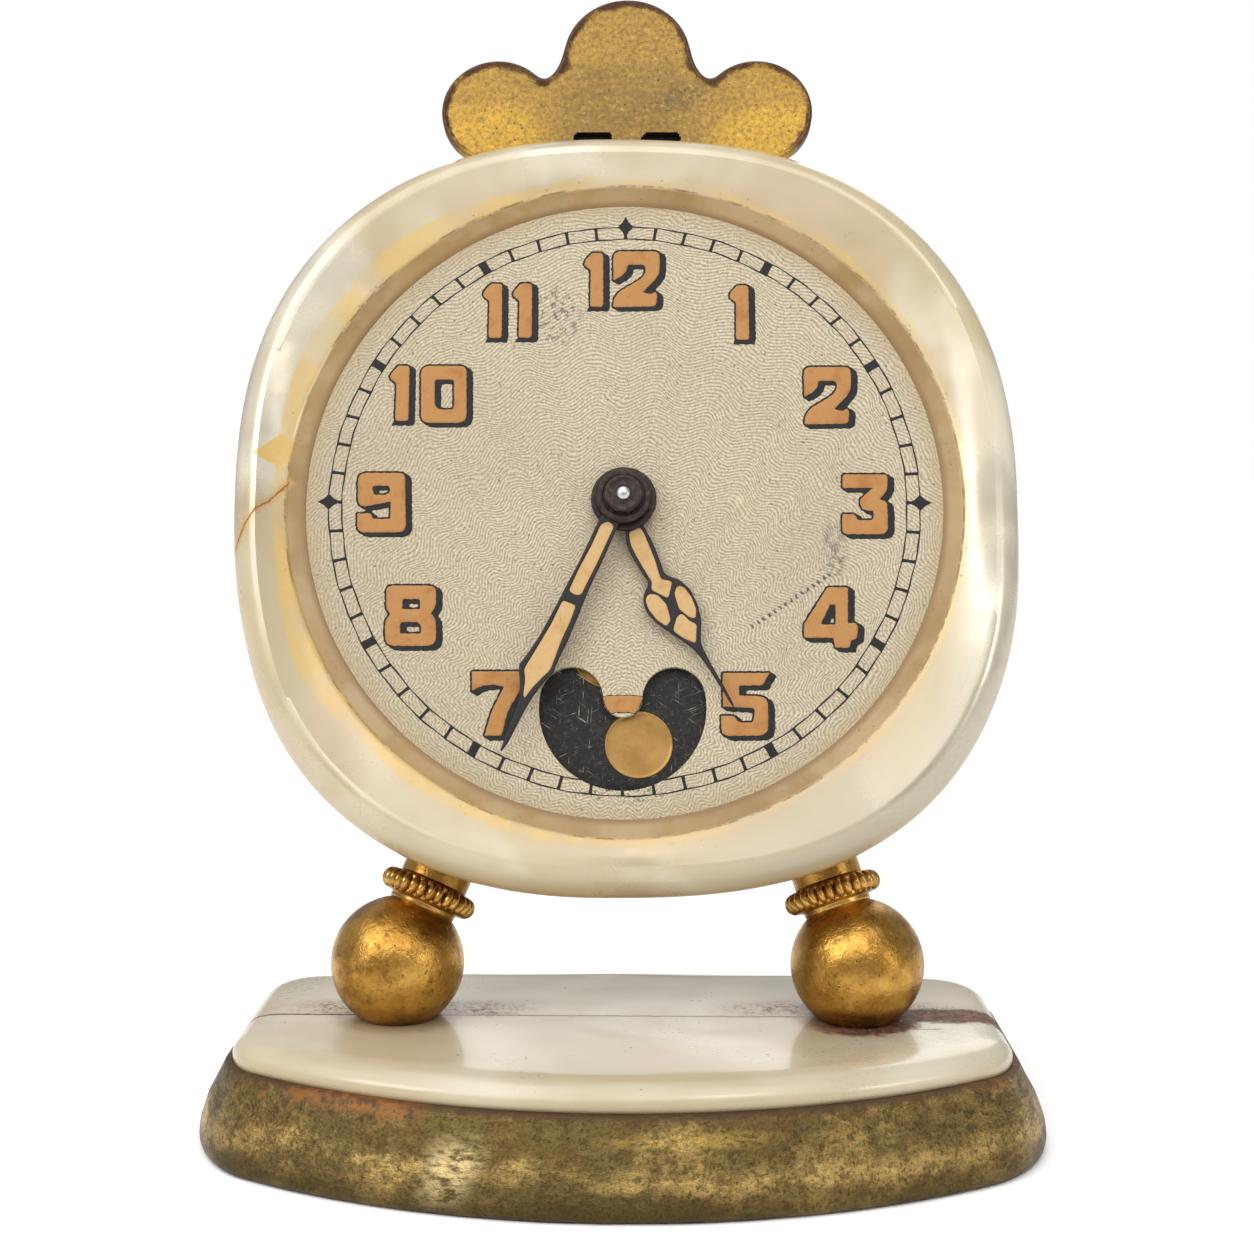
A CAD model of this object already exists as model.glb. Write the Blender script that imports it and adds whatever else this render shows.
"""Looks of the moon phase desk clock: a pearl boudoir clock on two gilt ball feet.

Pieces are drawn in millimetres in the frame of the part they belong to, and laid
into the row frame in metres. The head's frame has x to the right, y up the dial
and z out of the dial, with its origin at the dial's centre.
"""
import logging
import math
from dataclasses import dataclass
from enum import Enum
from functools import reduce
from typing import Callable, Iterable, Optional, Sequence, Union

import bmesh
import bpy
import numpy as np
from mathutils import Euler, Matrix, Vector


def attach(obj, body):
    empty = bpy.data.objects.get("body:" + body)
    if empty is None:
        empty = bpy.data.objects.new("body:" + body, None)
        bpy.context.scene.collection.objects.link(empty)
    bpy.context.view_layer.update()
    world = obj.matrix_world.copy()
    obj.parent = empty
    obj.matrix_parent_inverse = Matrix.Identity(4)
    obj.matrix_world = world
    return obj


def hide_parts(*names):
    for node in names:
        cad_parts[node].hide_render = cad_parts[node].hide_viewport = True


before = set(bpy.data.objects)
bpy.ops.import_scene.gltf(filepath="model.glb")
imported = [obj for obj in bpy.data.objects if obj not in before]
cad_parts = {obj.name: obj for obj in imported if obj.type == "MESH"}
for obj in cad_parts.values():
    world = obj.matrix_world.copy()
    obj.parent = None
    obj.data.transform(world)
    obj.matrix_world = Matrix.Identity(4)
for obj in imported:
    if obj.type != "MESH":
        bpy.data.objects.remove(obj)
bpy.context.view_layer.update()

log = logging.getLogger("clock")

MM = 0.001
DIAL_CENTRE = Vector((0.0, 4.0, 53.8))
HEAD_LEAN = math.radians(18.5)
HEAD_TURN = math.pi / 2 - HEAD_LEAN
MOON_DROP = 17.05
DIAL_OPENING = 27.3
FOOT_SPREAD = 19.67
FEET_SIDEWAYS = 0.38
SLAB_LOW = 7.6
SLAB_TOP = 9.9
TOP_LOBE = (43.42, 5.81)
WING = (11.85, 38.0, 5.05)

Point = tuple[float, float]
Corner = tuple[float, float, float]
Colour = tuple[float, float, float]


def head_matrix() -> Matrix:
    """Place of the head's frame in the row frame, for points in millimetres."""
    return Matrix.Scale(MM, 4) @ Matrix.Translation(DIAL_CENTRE) @ Matrix.Rotation(HEAD_TURN, 4, "X")


def ground_matrix() -> Matrix:
    """Place of the base's frame in the row frame, for points in millimetres."""
    return Matrix.Scale(MM, 4)


# ---------------------------------------------------------------- shader writing

class Signal:
    """One output socket, used in Python sums that turn into Math nodes."""

    def __init__(self, book: "FinishBook", socket: bpy.types.NodeSocket) -> None:
        """Keep the socket and the book that its nodes are added to."""
        self.book = book
        self.socket = socket

    def _math(self, operation: str, *values: Union["Signal", float]) -> "Signal":
        """Add one Math node that takes these values in order."""
        return self.book.node("ShaderNodeMath", {"operation": operation}, dict(enumerate(values)))

    def __add__(self, other: Union["Signal", float]) -> "Signal":
        """Sum."""
        return self._math("ADD", self, other)

    def __radd__(self, other: float) -> "Signal":
        """Sum with a number on the left."""
        return self._math("ADD", other, self)

    def __sub__(self, other: Union["Signal", float]) -> "Signal":
        """Difference."""
        return self._math("SUBTRACT", self, other)

    def __rsub__(self, other: float) -> "Signal":
        """Difference from a number on the left."""
        return self._math("SUBTRACT", other, self)

    def __mul__(self, other: Union["Signal", float]) -> "Signal":
        """Product."""
        return self._math("MULTIPLY", self, other)

    def __rmul__(self, other: float) -> "Signal":
        """Product with a number on the left."""
        return self._math("MULTIPLY", other, self)

    def __truediv__(self, other: Union["Signal", float]) -> "Signal":
        """Quotient."""
        return self._math("DIVIDE", self, other)

    def __pow__(self, power: float) -> "Signal":
        """Power."""
        return self._math("POWER", self, power)

    def __neg__(self) -> "Signal":
        """The value with its sign turned."""
        return self * -1.0

    def __abs__(self) -> "Signal":
        """Size without its sign."""
        return self._math("ABSOLUTE", self)

    def sine(self) -> "Signal":
        """Sine of the value in radians."""
        return self._math("SINE", self)

    def angle_with(self, across: "Signal") -> "Signal":
        """Angle in radians of the point (across, self)."""
        return self._math("ARCTAN2", self, across)

    def length_with(self, other: "Signal") -> "Signal":
        """Distance of the point (self, other) from zero."""
        return (self * self + other * other) ** 0.5

    def lesser(self, other: Union["Signal", float]) -> "Signal":
        """Smaller of two values."""
        return self._math("MINIMUM", self, other)

    def greater(self, *others: Union["Signal", float]) -> "Signal":
        """Largest of these values."""
        most = self
        for other in others:
            most = most._math("MAXIMUM", most, other)
        return most

    def ramp(self, low: float, high: float) -> "Signal":
        """Smooth step from 0 at low to 1 at high; low may be the larger of the two."""
        if low > high:
            return 1.0 - self.ramp(high, low)
        inputs = {"Value": self, "From Min": low, "From Max": high}
        return self.book.node("ShaderNodeMapRange", {"interpolation_type": "SMOOTHSTEP"}, inputs)


Value = Union[Signal, float, Colour, tuple[float, float, float, float]]


class FinishBook:
    """Nodes of one material, with short calls for the ones that the finishes share."""

    def __init__(self, name: str) -> None:
        """Start a material with one Principled shader and its output."""
        self.material = bpy.data.materials.new(name)
        self.material.use_nodes = True
        self.tree = self.material.node_tree
        self.shader = next(n for n in self.tree.nodes if n.type == "BSDF_PRINCIPLED")

    def node(self, kind: str, settings: dict[str, object], inputs: dict[Union[str, int], Value],
             output: Union[str, int] = 0) -> Signal:
        """Add a node: its settings first, then its sockets.

        Args:
            kind: node type name.
            settings: attributes of the node.
            inputs: value or link of each socket.
            output: socket that the returned signal stands for.

        Returns:
            The chosen output of the new node.
        """
        made = self.tree.nodes.new(kind)
        for key, value in settings.items():
            setattr(made, key, value)
        for key, value in inputs.items():
            self.feed(made.inputs[key], value)
        return Signal(self, made.outputs[output])

    def feed(self, socket: bpy.types.NodeSocket, value: Value) -> None:
        """Link a signal to a socket, or set the socket's own value."""
        if isinstance(value, Signal):
            self.tree.links.new(value.socket, socket)
        elif isinstance(value, tuple) and len(value) == 3 and socket.type == "RGBA":
            socket.default_value = (*value, 1.0)
        else:
            socket.default_value = value

    def set(self, **sockets: Value) -> None:
        """Feed sockets of the main shader, with underscores for the spaces in their names."""
        for key, value in sockets.items():
            self.feed(self.shader.inputs[key.replace("_", " ")], value)

    def place(self, grain: tuple[float, float, float] = (1.0, 1.0, 1.0)) -> Signal:
        """Row frame place in millimetres, stretched per axis by grain."""
        at = self.node("ShaderNodeTexCoord", {}, {}, "Object")
        scale = tuple(share / MM for share in grain)
        return self.node("ShaderNodeVectorMath", {"operation": "MULTIPLY"}, {0: at, 1: scale})

    def head_place(self) -> Signal:
        """Place in the head's frame in millimetres."""
        inputs = {"Vector": self.node("ShaderNodeTexCoord", {}, {}, "Object"),
                  "Location": tuple(DIAL_CENTRE * MM), "Rotation": (HEAD_TURN, 0.0, 0.0),
                  "Scale": (MM, MM, MM)}
        return self.node("ShaderNodeMapping", {"vector_type": "TEXTURE"}, inputs)

    def split(self, vector: Signal) -> tuple[Signal, Signal, Signal]:
        """The x, y and z of a vector."""
        first = self.node("ShaderNodeSeparateXYZ", {}, {0: vector})
        outputs = first.socket.node.outputs
        return first, Signal(self, outputs[1]), Signal(self, outputs[2])

    def noise(self, vector: Signal, scale: float, detail: float = 3.0, roughness: float = 0.55,
              distortion: float = 0.0) -> Signal:
        """Cloudy noise from 0 to 1, with scale in features a millimetre."""
        inputs = {"Vector": vector, "Scale": scale, "Detail": detail, "Roughness": roughness,
                  "Distortion": distortion}
        return self.node("ShaderNodeTexNoise", {}, inputs)

    def cells(self, vector: Signal, scale: float) -> Signal:
        """Distance to scattered points, for pits and specks."""
        return self.node("ShaderNodeTexVoronoi", {}, {"Vector": vector, "Scale": scale}, "Distance")

    def blend(self, share: Value, low: Value, high: Value) -> Signal:
        """Colour between low and high."""
        return self.node("ShaderNodeMix", {"data_type": "RGBA"}, {0: share, 6: low, 7: high}, 2)

    def over(self, colour: Signal, *layers: tuple[Value, Value]) -> Signal:
        """Lay tinted layers over a colour.

        Args:
            colour: colour underneath.
            layers: mask and tint of each layer, the lowest first.

        Returns:
            Colour of the whole stack.
        """
        for mask, tint in layers:
            colour = self.blend(mask, colour, tint)
        return colour

    def bump(self, height: Signal, depth: float, strength: float = 1.0,
             under: Optional[Signal] = None) -> Signal:
        """Normal raised by a height from 0 to 1 that stands for depth millimetres."""
        inputs: dict[Union[str, int], Value] = {"Height": height, "Distance": depth * MM,
                                                "Strength": strength}
        if under is not None:
            inputs["Normal"] = under
        return self.node("ShaderNodeBump", {}, inputs)


def toned(colour: Colour, share: float) -> Colour:
    """Colour made darker or lighter by a share."""
    return tuple(share * part for part in colour)


def oval(x: Signal, y: Signal, middle: Point, steep: Point) -> Signal:
    """Squared distance from the middle of an oval patch, with its own steepness each way."""
    return (x - middle[0]) ** 2.0 * steep[0] + (y - middle[1]) ** 2.0 * steep[1]


def beside(x: Signal, y: Signal, start: Point, end: Point) -> tuple[Signal, Signal, float]:
    """Place along a straight line, place aside from it, and the line's length."""
    length = math.dist(start, end)
    ux, uy = (end[0] - start[0]) / length, (end[1] - start[1]) / length
    dx, dy = x - start[0], y - start[1]
    return dx * ux + dy * uy, dx * uy - dy * ux, length


# ---------------------------------------------------------------- finishes

@dataclass(frozen=True)
class Finish:
    """One finish of the clock; each kind writes its own nodes."""

    name: str

    def material(self) -> bpy.types.Material:
        """The material of this finish, made once."""
        if self.name not in bpy.data.materials:
            self.write(FinishBook(self.name))
        return bpy.data.materials[self.name]

    def write(self, book: FinishBook) -> None:
        """Add the nodes of this finish to the book."""
        raise NotImplementedError


@dataclass(frozen=True)
class Brass(Finish):
    """Gilt, cast or turned brass with soft blotches, dark pits and fine strokes."""

    light: Colour = (0.66, 0.42, 0.13)
    dark: Colour = (0.34, 0.19, 0.045)
    dirt: Colour = (0.05, 0.032, 0.015)
    roughness: float = 0.3
    blotch: float = 0.28
    pits: float = 1.6
    pit_size: float = 0.1
    stroke_depth: float = 0.004
    dent: float = 0.08
    mottle: float = 0.0
    metal: float = 1.0

    def write(self, book: FinishBook) -> None:
        """Blotches for the colour, pits and fine strokes for the relief."""
        at = book.place()
        cloud = book.noise(at, self.blotch, 5.0, 0.6)
        fine = book.noise(at, self.blotch * 9.0, 3.0, 0.65)
        grit = book.noise(at, 3.4, 3.0, 0.75)
        stain = book.noise(at, 0.42, 5.0, 0.7).ramp(0.5, 0.66)
        stain = stain * (0.35 + grit.ramp(0.4, 0.62) * 0.65) * self.mottle
        pit = book.cells(at, self.pits).ramp(self.pit_size, self.pit_size * 0.55)
        pit = pit * book.noise(at, self.pits * 0.5, 2.0).ramp(0.42, 0.6)
        pit = pit.greater(grit.ramp(0.7, 0.76) * self.mottle)
        colour = book.over(book.blend(cloud.ramp(0.34, 0.64), self.dark, self.light),
                           (fine.ramp(0.45, 0.8) * 0.35, self.dark),
                           (stain, toned(self.dark, 0.45)),
                           (pit * 0.85, self.dirt))
        book.set(Base_Color=colour, Metallic=self.metal - pit * 0.7,
                 Roughness=self.roughness + fine * 0.16 + pit * 0.4 + stain * 0.2 - cloud * 0.08)
        strokes = book.bump(book.noise(at, 1.6, 3.0, 0.7), self.stroke_depth)
        height = cloud * 0.5 + fine * (0.1 + self.mottle * 0.5) - pit * 0.35
        book.set(Normal=book.bump(height, self.dent, 1.0, strokes))


@dataclass(frozen=True)
class CrestBrass(Finish):
    """Brushed brass of the crest: yellow wings, a brown middle and a ragged dark rim."""

    yellow: Colour = (0.45, 0.265, 0.035)
    plain: Colour = (0.34, 0.205, 0.045)
    brown: Colour = (0.15, 0.09, 0.032)
    smear: Colour = (0.10, 0.078, 0.045)
    polish: Colour = (0.56, 0.42, 0.20)
    dirt: Colour = (0.07, 0.045, 0.02)
    rim: Colour = (0.055, 0.027, 0.018)
    rim_light: Colour = (0.15, 0.075, 0.05)

    def write(self, book: FinishBook) -> None:
        """Streaks along the crest, dark specks and the rim."""
        x, y, _ = book.split(book.head_place())
        side = abs(x)
        at = book.place()
        streak = book.noise(book.place((0.16, 2.0, 2.0)), 1.5, 4.0, 0.75)
        cloud = book.noise(at, 0.16, 4.0, 0.65)
        fine = book.noise(at, 2.6, 4.0, 0.75)
        bright = side.ramp(5.5, 10.5) * y.ramp(39.5, 35.4) + side.ramp(8.0, 12.0) * 0.35
        share = (bright + (cloud - 0.5) * 0.9 + (streak - 0.5) * 0.5).ramp(0.1, 0.85)
        dull = side.ramp(9.5, 3.0) * y.ramp(46.0, 40.5) * 0.9 + y.ramp(45.0, 48.0) * 0.25
        worn = (dull + (cloud - 0.5) * 0.9).ramp(0.15, 1.0) * (0.4 + streak.ramp(0.42, 0.62) * 0.45)
        smudge = oval(x, y - (x - 5.0) * 0.22, (5.0, 39.4), (0.08, 0.5)).ramp(1.1, 0.1)
        pit = book.cells(at, 1.3).ramp(0.13, 0.07) * cloud.ramp(0.42, 0.55)
        edge = self._edge(side, y) + (book.noise(at, 0.5, 4.0, 0.65) - 0.5) * 1.7 + (fine - 0.5) * 0.7
        rim = edge.ramp(-0.7, -0.35) * y.ramp(33.4, 35.0)
        colour = book.over(book.blend(share, self.plain, self.yellow),
                           (worn * 0.7, self.brown),
                           (fine.ramp(0.44, 0.62) * 0.62, self.brown),
                           (smudge * fine.ramp(0.4, 0.56) * 0.6, self.smear),
                           (streak.ramp(0.58, 0.75) * 0.2 + fine.ramp(0.42, 0.3) * 0.5, self.polish),
                           (pit.greater(fine.ramp(0.7, 0.76)) * 0.8, self.dirt),
                           (rim * 0.92, book.blend(fine.ramp(0.4, 0.7), self.rim, self.rim_light)))
        book.set(Base_Color=colour, Metallic=0.66 + rim * 0.2, Roughness=0.5 - share * 0.1 + fine * 0.12)
        relief = book.bump(streak, 0.03)
        book.set(Normal=book.bump(fine * 0.6 + cloud - pit, 0.05, 1.0, relief))

    @staticmethod
    def _edge(side: Signal, y: Signal) -> Signal:
        """Distance to the crest's edge in millimetres, negative inside."""
        height, radius = TOP_LOBE
        spread, wing_height, wing_radius = WING
        top = side.length_with(y - height) - radius
        wings = (side - spread).length_with(y - wing_height) - wing_radius
        neck = ((side - 5.2 - (43.2 - y) * 1.1) * 0.67).greater(y - 43.2)
        web = (side - 10.0).greater(y - 41.1)
        return top.lesser(wings).lesser(neck).lesser(web)


@dataclass(frozen=True)
class CastBase(Finish):
    """Dull olive brass of the plinth, rubbed bright, with rust and verdigris under the slab."""

    olive: Colour = (0.13, 0.095, 0.034)
    brown: Colour = (0.13, 0.078, 0.028)
    bright: Colour = (0.52, 0.35, 0.12)
    shade: Colour = (0.06, 0.04, 0.016)
    cloudy: Colour = (0.075, 0.052, 0.02)
    gritty: Colour = (0.045, 0.028, 0.011)
    verdigris: Colour = (0.19, 0.24, 0.2)
    crusted: Colour = (0.07, 0.032, 0.012)
    rust: Colour = (0.36, 0.115, 0.016)
    dark_rust: Colour = (0.10, 0.05, 0.02)
    spark: Colour = (0.85, 0.74, 0.48)
    streak: Colour = (0.76, 0.60, 0.31)
    gleam: Colour = (0.70, 0.47, 0.12)

    def write(self, book: FinishBook) -> None:
        """Rubbed patches on the swell, rust along the seam, green specks and two lights."""
        at = book.place()
        x, _, height = book.split(at)
        cloud = book.noise(at, 0.14, 5.0, 0.62)
        fine = book.noise(at, 0.9, 5.0, 0.75)
        grit = book.noise(at, 3.6, 4.0, 0.8)
        grain = book.noise(book.place((0.6, 0.6, 1.5)), 1.1, 4.0, 0.75)
        band = height + (book.noise(at, 0.12, 3.0) - 0.5) * 5.0
        belly = (-abs(band - 3.4)).ramp(-1.5, 0.0)
        rubbed = cloud * 0.75 + grain * 0.35 + belly * 0.12 + x.ramp(6.0, 24.0) * 0.05
        rubbed = (rubbed - abs(x).ramp(14.0, 2.0) * 0.07).ramp(0.5, 0.84)
        green = book.noise(at, 0.5, 6.0, 0.8).ramp(0.66, 0.72) * grit.ramp(0.42, 0.6)
        under = height + (book.noise(at, 0.4, 5.0, 0.7) - 0.5) * 2.2
        left = ((x + 21.0) ** 2.0 * -0.02 + 1.0).ramp(0.0, 0.8)
        stain = under.ramp(SLAB_LOW - 1.3, SLAB_LOW - 0.6)
        stain = stain * left.greater(book.noise(at, 0.16, 3.0).ramp(0.56, 0.66) * 0.7)
        crust = (height + fine * 0.5).ramp(SLAB_LOW - 0.2, SLAB_LOW + 0.15)
        wander = (cloud + grain - 1.0) * 2.4
        streak = ((x + 14.3 - height * 0.37) ** 2.0 * 0.14 + wander).ramp(1.2, -0.5)
        streak = streak * abs(height - 3.3).ramp(3.4, 0.6)
        gleam = (oval(x, height, (5.5, 5.9), (0.018, 1.4)) + wander).ramp(1.2, -0.4)
        patchy = book.noise(at, 0.25, 4.0, 0.7).ramp(0.44, 0.62)
        rust = book.blend(fine.ramp(0.42, 0.6), self.rust, self.dark_rust)
        colour = book.over(book.blend(patchy * 0.7, self.olive, self.brown),
                           (rubbed, self.bright),
                           (height.ramp(3.0, 0.6) * 0.6, self.shade),
                           (fine.ramp(0.46, 0.62) * 0.6, self.cloudy),
                           (grit.ramp(0.48, 0.64) * 0.6, self.gritty),
                           (green * 0.8, self.verdigris),
                           (crust * 0.75, self.crusted),
                           (stain * (0.3 + grit.ramp(0.4, 0.6) * 0.6), rust),
                           (grit.ramp(0.68, 0.74) * rubbed * 0.7, self.spark),
                           (streak * grain.ramp(0.38, 0.62) * 0.85, self.streak),
                           (gleam * grain.ramp(0.38, 0.62) * 0.7, self.gleam))
        dull = (stain * 0.8).greater(green, crust * 0.7)
        book.set(Base_Color=colour, Metallic=1.0 - dull * 0.75,
                 Roughness=0.42 - rubbed * 0.12 + fine * 0.16 + dull * 0.25)
        relief = book.bump(grit * 0.5 + grain, 0.05)
        book.set(Normal=book.bump(cloud + fine * 0.16 + grain * 0.25, 0.5, 1.0, relief))


@dataclass(frozen=True)
class Pearl(Finish):
    """Cream pearl shell: cloudy layers with a faint green and rose play, and a soft lustre."""

    cream: Colour = (0.47, 0.385, 0.235)
    white: Colour = (0.63, 0.58, 0.45)
    rose: Colour = (0.53, 0.42, 0.32)
    green: Colour = (0.44, 0.44, 0.32)
    layer: float = 0.05
    gloss: float = 0.2
    coat: float = 0.6

    def layers(self, book: FinishBook, at: Signal) -> tuple[Signal, Signal]:
        """Shell colour and the share of lustre, before any stain.

        Args:
            book: nodes to add to.
            at: place in millimetres.

        Returns:
            Colour of the shell and a lustre mask from 0 to 1.
        """
        drift = book.noise(at, self.layer, 3.0, 0.5, 0.7)
        band = book.noise(at, self.layer * 2.4, 2.0, 0.4, 0.8)
        play = book.noise(at, self.layer * 1.5, 3.0, 0.5, 1.0)
        sheen = book.noise(at, self.layer * 1.3, 2.0, 0.4, 1.0)
        colour = book.over(book.blend(drift.ramp(0.4, 0.6), self.cream, self.white),
                           (band.ramp(0.5, 0.72) * 0.45, self.rose),
                           (play.ramp(0.52, 0.7) * 0.4, self.green))
        return colour, sheen.ramp(0.4, 0.68)

    def finish(self, book: FinishBook, at: Signal, colour: Signal, lustre: Signal, dull: Signal) -> None:
        """Join colour, lustre and relief to the shader."""
        wave = book.noise(at, self.layer * 2.0, 2.0, 0.4, 0.8)
        fine = book.noise(at, 1.6, 3.0, 0.6)
        book.set(Base_Color=colour, Metallic=lustre * (1.0 - dull) * 0.42,
                 Roughness=0.26 + dull * 0.4 + fine * 0.08 - lustre * 0.06,
                 Coat_Weight=(1.0 - dull) * self.coat, Coat_Roughness=self.gloss,
                 Subsurface_Weight=0.12, Subsurface_Radius=(1.0, 0.8, 0.55), Subsurface_Scale=0.0012)
        book.set(Normal=book.bump(wave + fine * 0.004, 0.35, 0.8))


@dataclass(frozen=True)
class BezelPearl(Pearl):
    """Pearl of the bezel, with the old cement's yellow by the lip and the crack at the left."""

    lip_radius: float = 29.0
    crack: tuple[Point, ...] = ((-28.7, 1.5), (-30.15, -0.25), (-31.5, -1.65), (-32.35, -3.1),
                                (-33.3, -5.2))
    low_shade: Colour = (0.40, 0.32, 0.18)
    corner_shade: Colour = (0.33, 0.305, 0.24)
    edge: Colour = (0.36, 0.225, 0.085)
    cement: Colour = (0.60, 0.375, 0.075)
    cement_light: Colour = (0.66, 0.48, 0.16)
    tan: Colour = (0.26, 0.155, 0.046)
    dark_tan: Colour = (0.21, 0.115, 0.03)
    rusty: Colour = (0.36, 0.15, 0.03)
    bare: Colour = (0.42, 0.33, 0.19)
    deep: Colour = (0.15, 0.07, 0.018)
    grime: Colour = (0.19, 0.10, 0.025)
    tinge: Colour = (0.52, 0.3, 0.09)
    dirt: Colour = (0.24, 0.10, 0.03)

    def write(self, book: FinishBook) -> None:
        """Shell, then yellow cement, the cone, its dirty lip line and the crack."""
        at = book.head_place()
        x, y, z = book.split(at)
        radius = x.length_with(y)
        shell, lustre = self.layers(book, at)
        fine = book.noise(at, 0.8, 4.0, 0.7)
        cloud = book.noise(at, 0.1, 4.0, 0.6)
        low = (x * 0.35 - y * 0.94).ramp(-8.0, 30.0)
        corner = (x * 0.72 - y * 0.69).ramp(22.0, 34.0)
        yellow = self._cement(book, at, (x, y, radius), (cloud, fine))
        cone = (radius + fine * 0.12).ramp(self.lip_radius + 0.1, self.lip_radius - 0.15)
        line = abs(radius - self.lip_radius + (fine - 0.5) * 0.3).ramp(0.13, 0.03) * cloud.ramp(0.4, 0.55)
        speck = book.cells(at, 1.6).ramp(0.2, 0.1) * radius.ramp(self.lip_radius + 1.4, self.lip_radius)
        speck = speck * book.noise(at, 0.7, 2.0).ramp(0.5, 0.6)
        grime = (line * fine.ramp(0.42, 0.55)).greater(speck)
        cracked, tinged = self._crack(x, y, fine)
        shell = book.over(shell, (low * 0.3, book.blend(0.5, shell, self.low_shade)))
        colour = book.over(shell,
                           (corner * 0.55, self.corner_shade),
                           (z.ramp(1.9, -0.8) * 0.85, self.edge),
                           (yellow, self.cement),
                           (yellow * fine.ramp(0.4, 0.7) * 0.4, self.cement_light),
                           (cone * 0.94, self._cone(book, at, radius, (cloud, fine))),
                           (grime * 0.75, self.grime),
                           (tinged * 0.65, self.tinge),
                           (cracked, self.dirt))
        self.finish(book, at, colour, lustre, (yellow * 0.4).greater(cone * 0.7, cracked, grime))

    def _cement(self, book: FinishBook, at: Signal, spot: tuple[Signal, Signal, Signal],
                noises: tuple[Signal, Signal]) -> Signal:
        """Mask of the yellow cement, wider at the upper left and the lower left.

        Args:
            book: nodes to add to.
            at: place in millimetres.
            spot: place across the dial, up it and away from its centre.
            noises: cloudy and fine noise that make the stain ragged.

        Returns:
            Mask from 0 to 1.
        """
        x, y, radius = spot
        cloud, fine = noises
        bearing = y.angle_with(-x)
        upper = bearing.ramp(0.18, 0.5) * bearing.ramp(1.35, 0.75)
        lower = bearing.ramp(-0.2, -0.56) * bearing.ramp(-0.75, -0.6)
        left = x.ramp(4.0, -16.0)
        reach = 0.55 + left * 0.45 + upper * 0.95 + lower
        ragged_radius = radius + (cloud - 0.5) * 1.6 + (fine - 0.5) * 0.35 - reach
        spread = ragged_radius.ramp(self.lip_radius + 0.2, self.lip_radius - 0.15)
        tooth = abs(x + 29.6) * 0.62 + abs(y - 4.15 - (x + 29.6) * 0.25) * 0.85
        patch = (tooth + (cloud + fine - 1.0) * 0.6).ramp(1.32, 1.2)
        thin = book.noise(at, 0.28, 3.0).ramp(0.34, 0.56)
        return (spread * (0.38 + left * 0.26) * (0.34 + thin * 0.56)).greater(patch * 0.85)

    def _cone(self, book: FinishBook, at: Signal, radius: Signal, noises: tuple[Signal, Signal]) -> Signal:
        """Tan of the cone between lip and dial, rusty in places and deeper by the dial."""
        cloud, fine = noises
        rusty = book.noise(at, 0.3, 4.0, 0.7).ramp(0.55, 0.7) * fine.ramp(0.36, 0.6)
        bare = book.noise(at, 0.12, 4.0, 0.6, 0.5).ramp(0.4, 0.68)
        bare = bare * radius.ramp(DIAL_OPENING, DIAL_OPENING + 0.6)
        deep = radius.ramp(DIAL_OPENING + 0.75, DIAL_OPENING - 0.1)
        return book.over(book.blend(cloud.ramp(0.4, 0.66) * 0.7, self.tan, self.dark_tan),
                         (rusty * 0.6, self.rusty), (bare * 0.45, self.bare), (deep * 0.7, self.deep))

    def _crack(self, x: Signal, y: Signal, fine: Signal) -> tuple[Signal, Signal]:
        """Masks of the crack's line and of the stain beside it.

        Args:
            x: place across the dial.
            y: place up the dial.
            fine: noise that makes the line ragged.

        Returns:
            Mask of the line itself and mask of the stained shell round it.
        """
        best: Optional[Signal] = None
        for start, end in zip(self.crack, self.crack[1:]):
            along, aside, length = beside(x, y, start, end)
            past = (-along).greater(along - length, 0.0)
            gap = abs(aside + (fine - 0.5) * 0.5).greater(past)
            best = gap if best is None else best.lesser(gap)
        return best.ramp(0.11, 0.03), best.ramp(0.6, 0.05)


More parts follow.
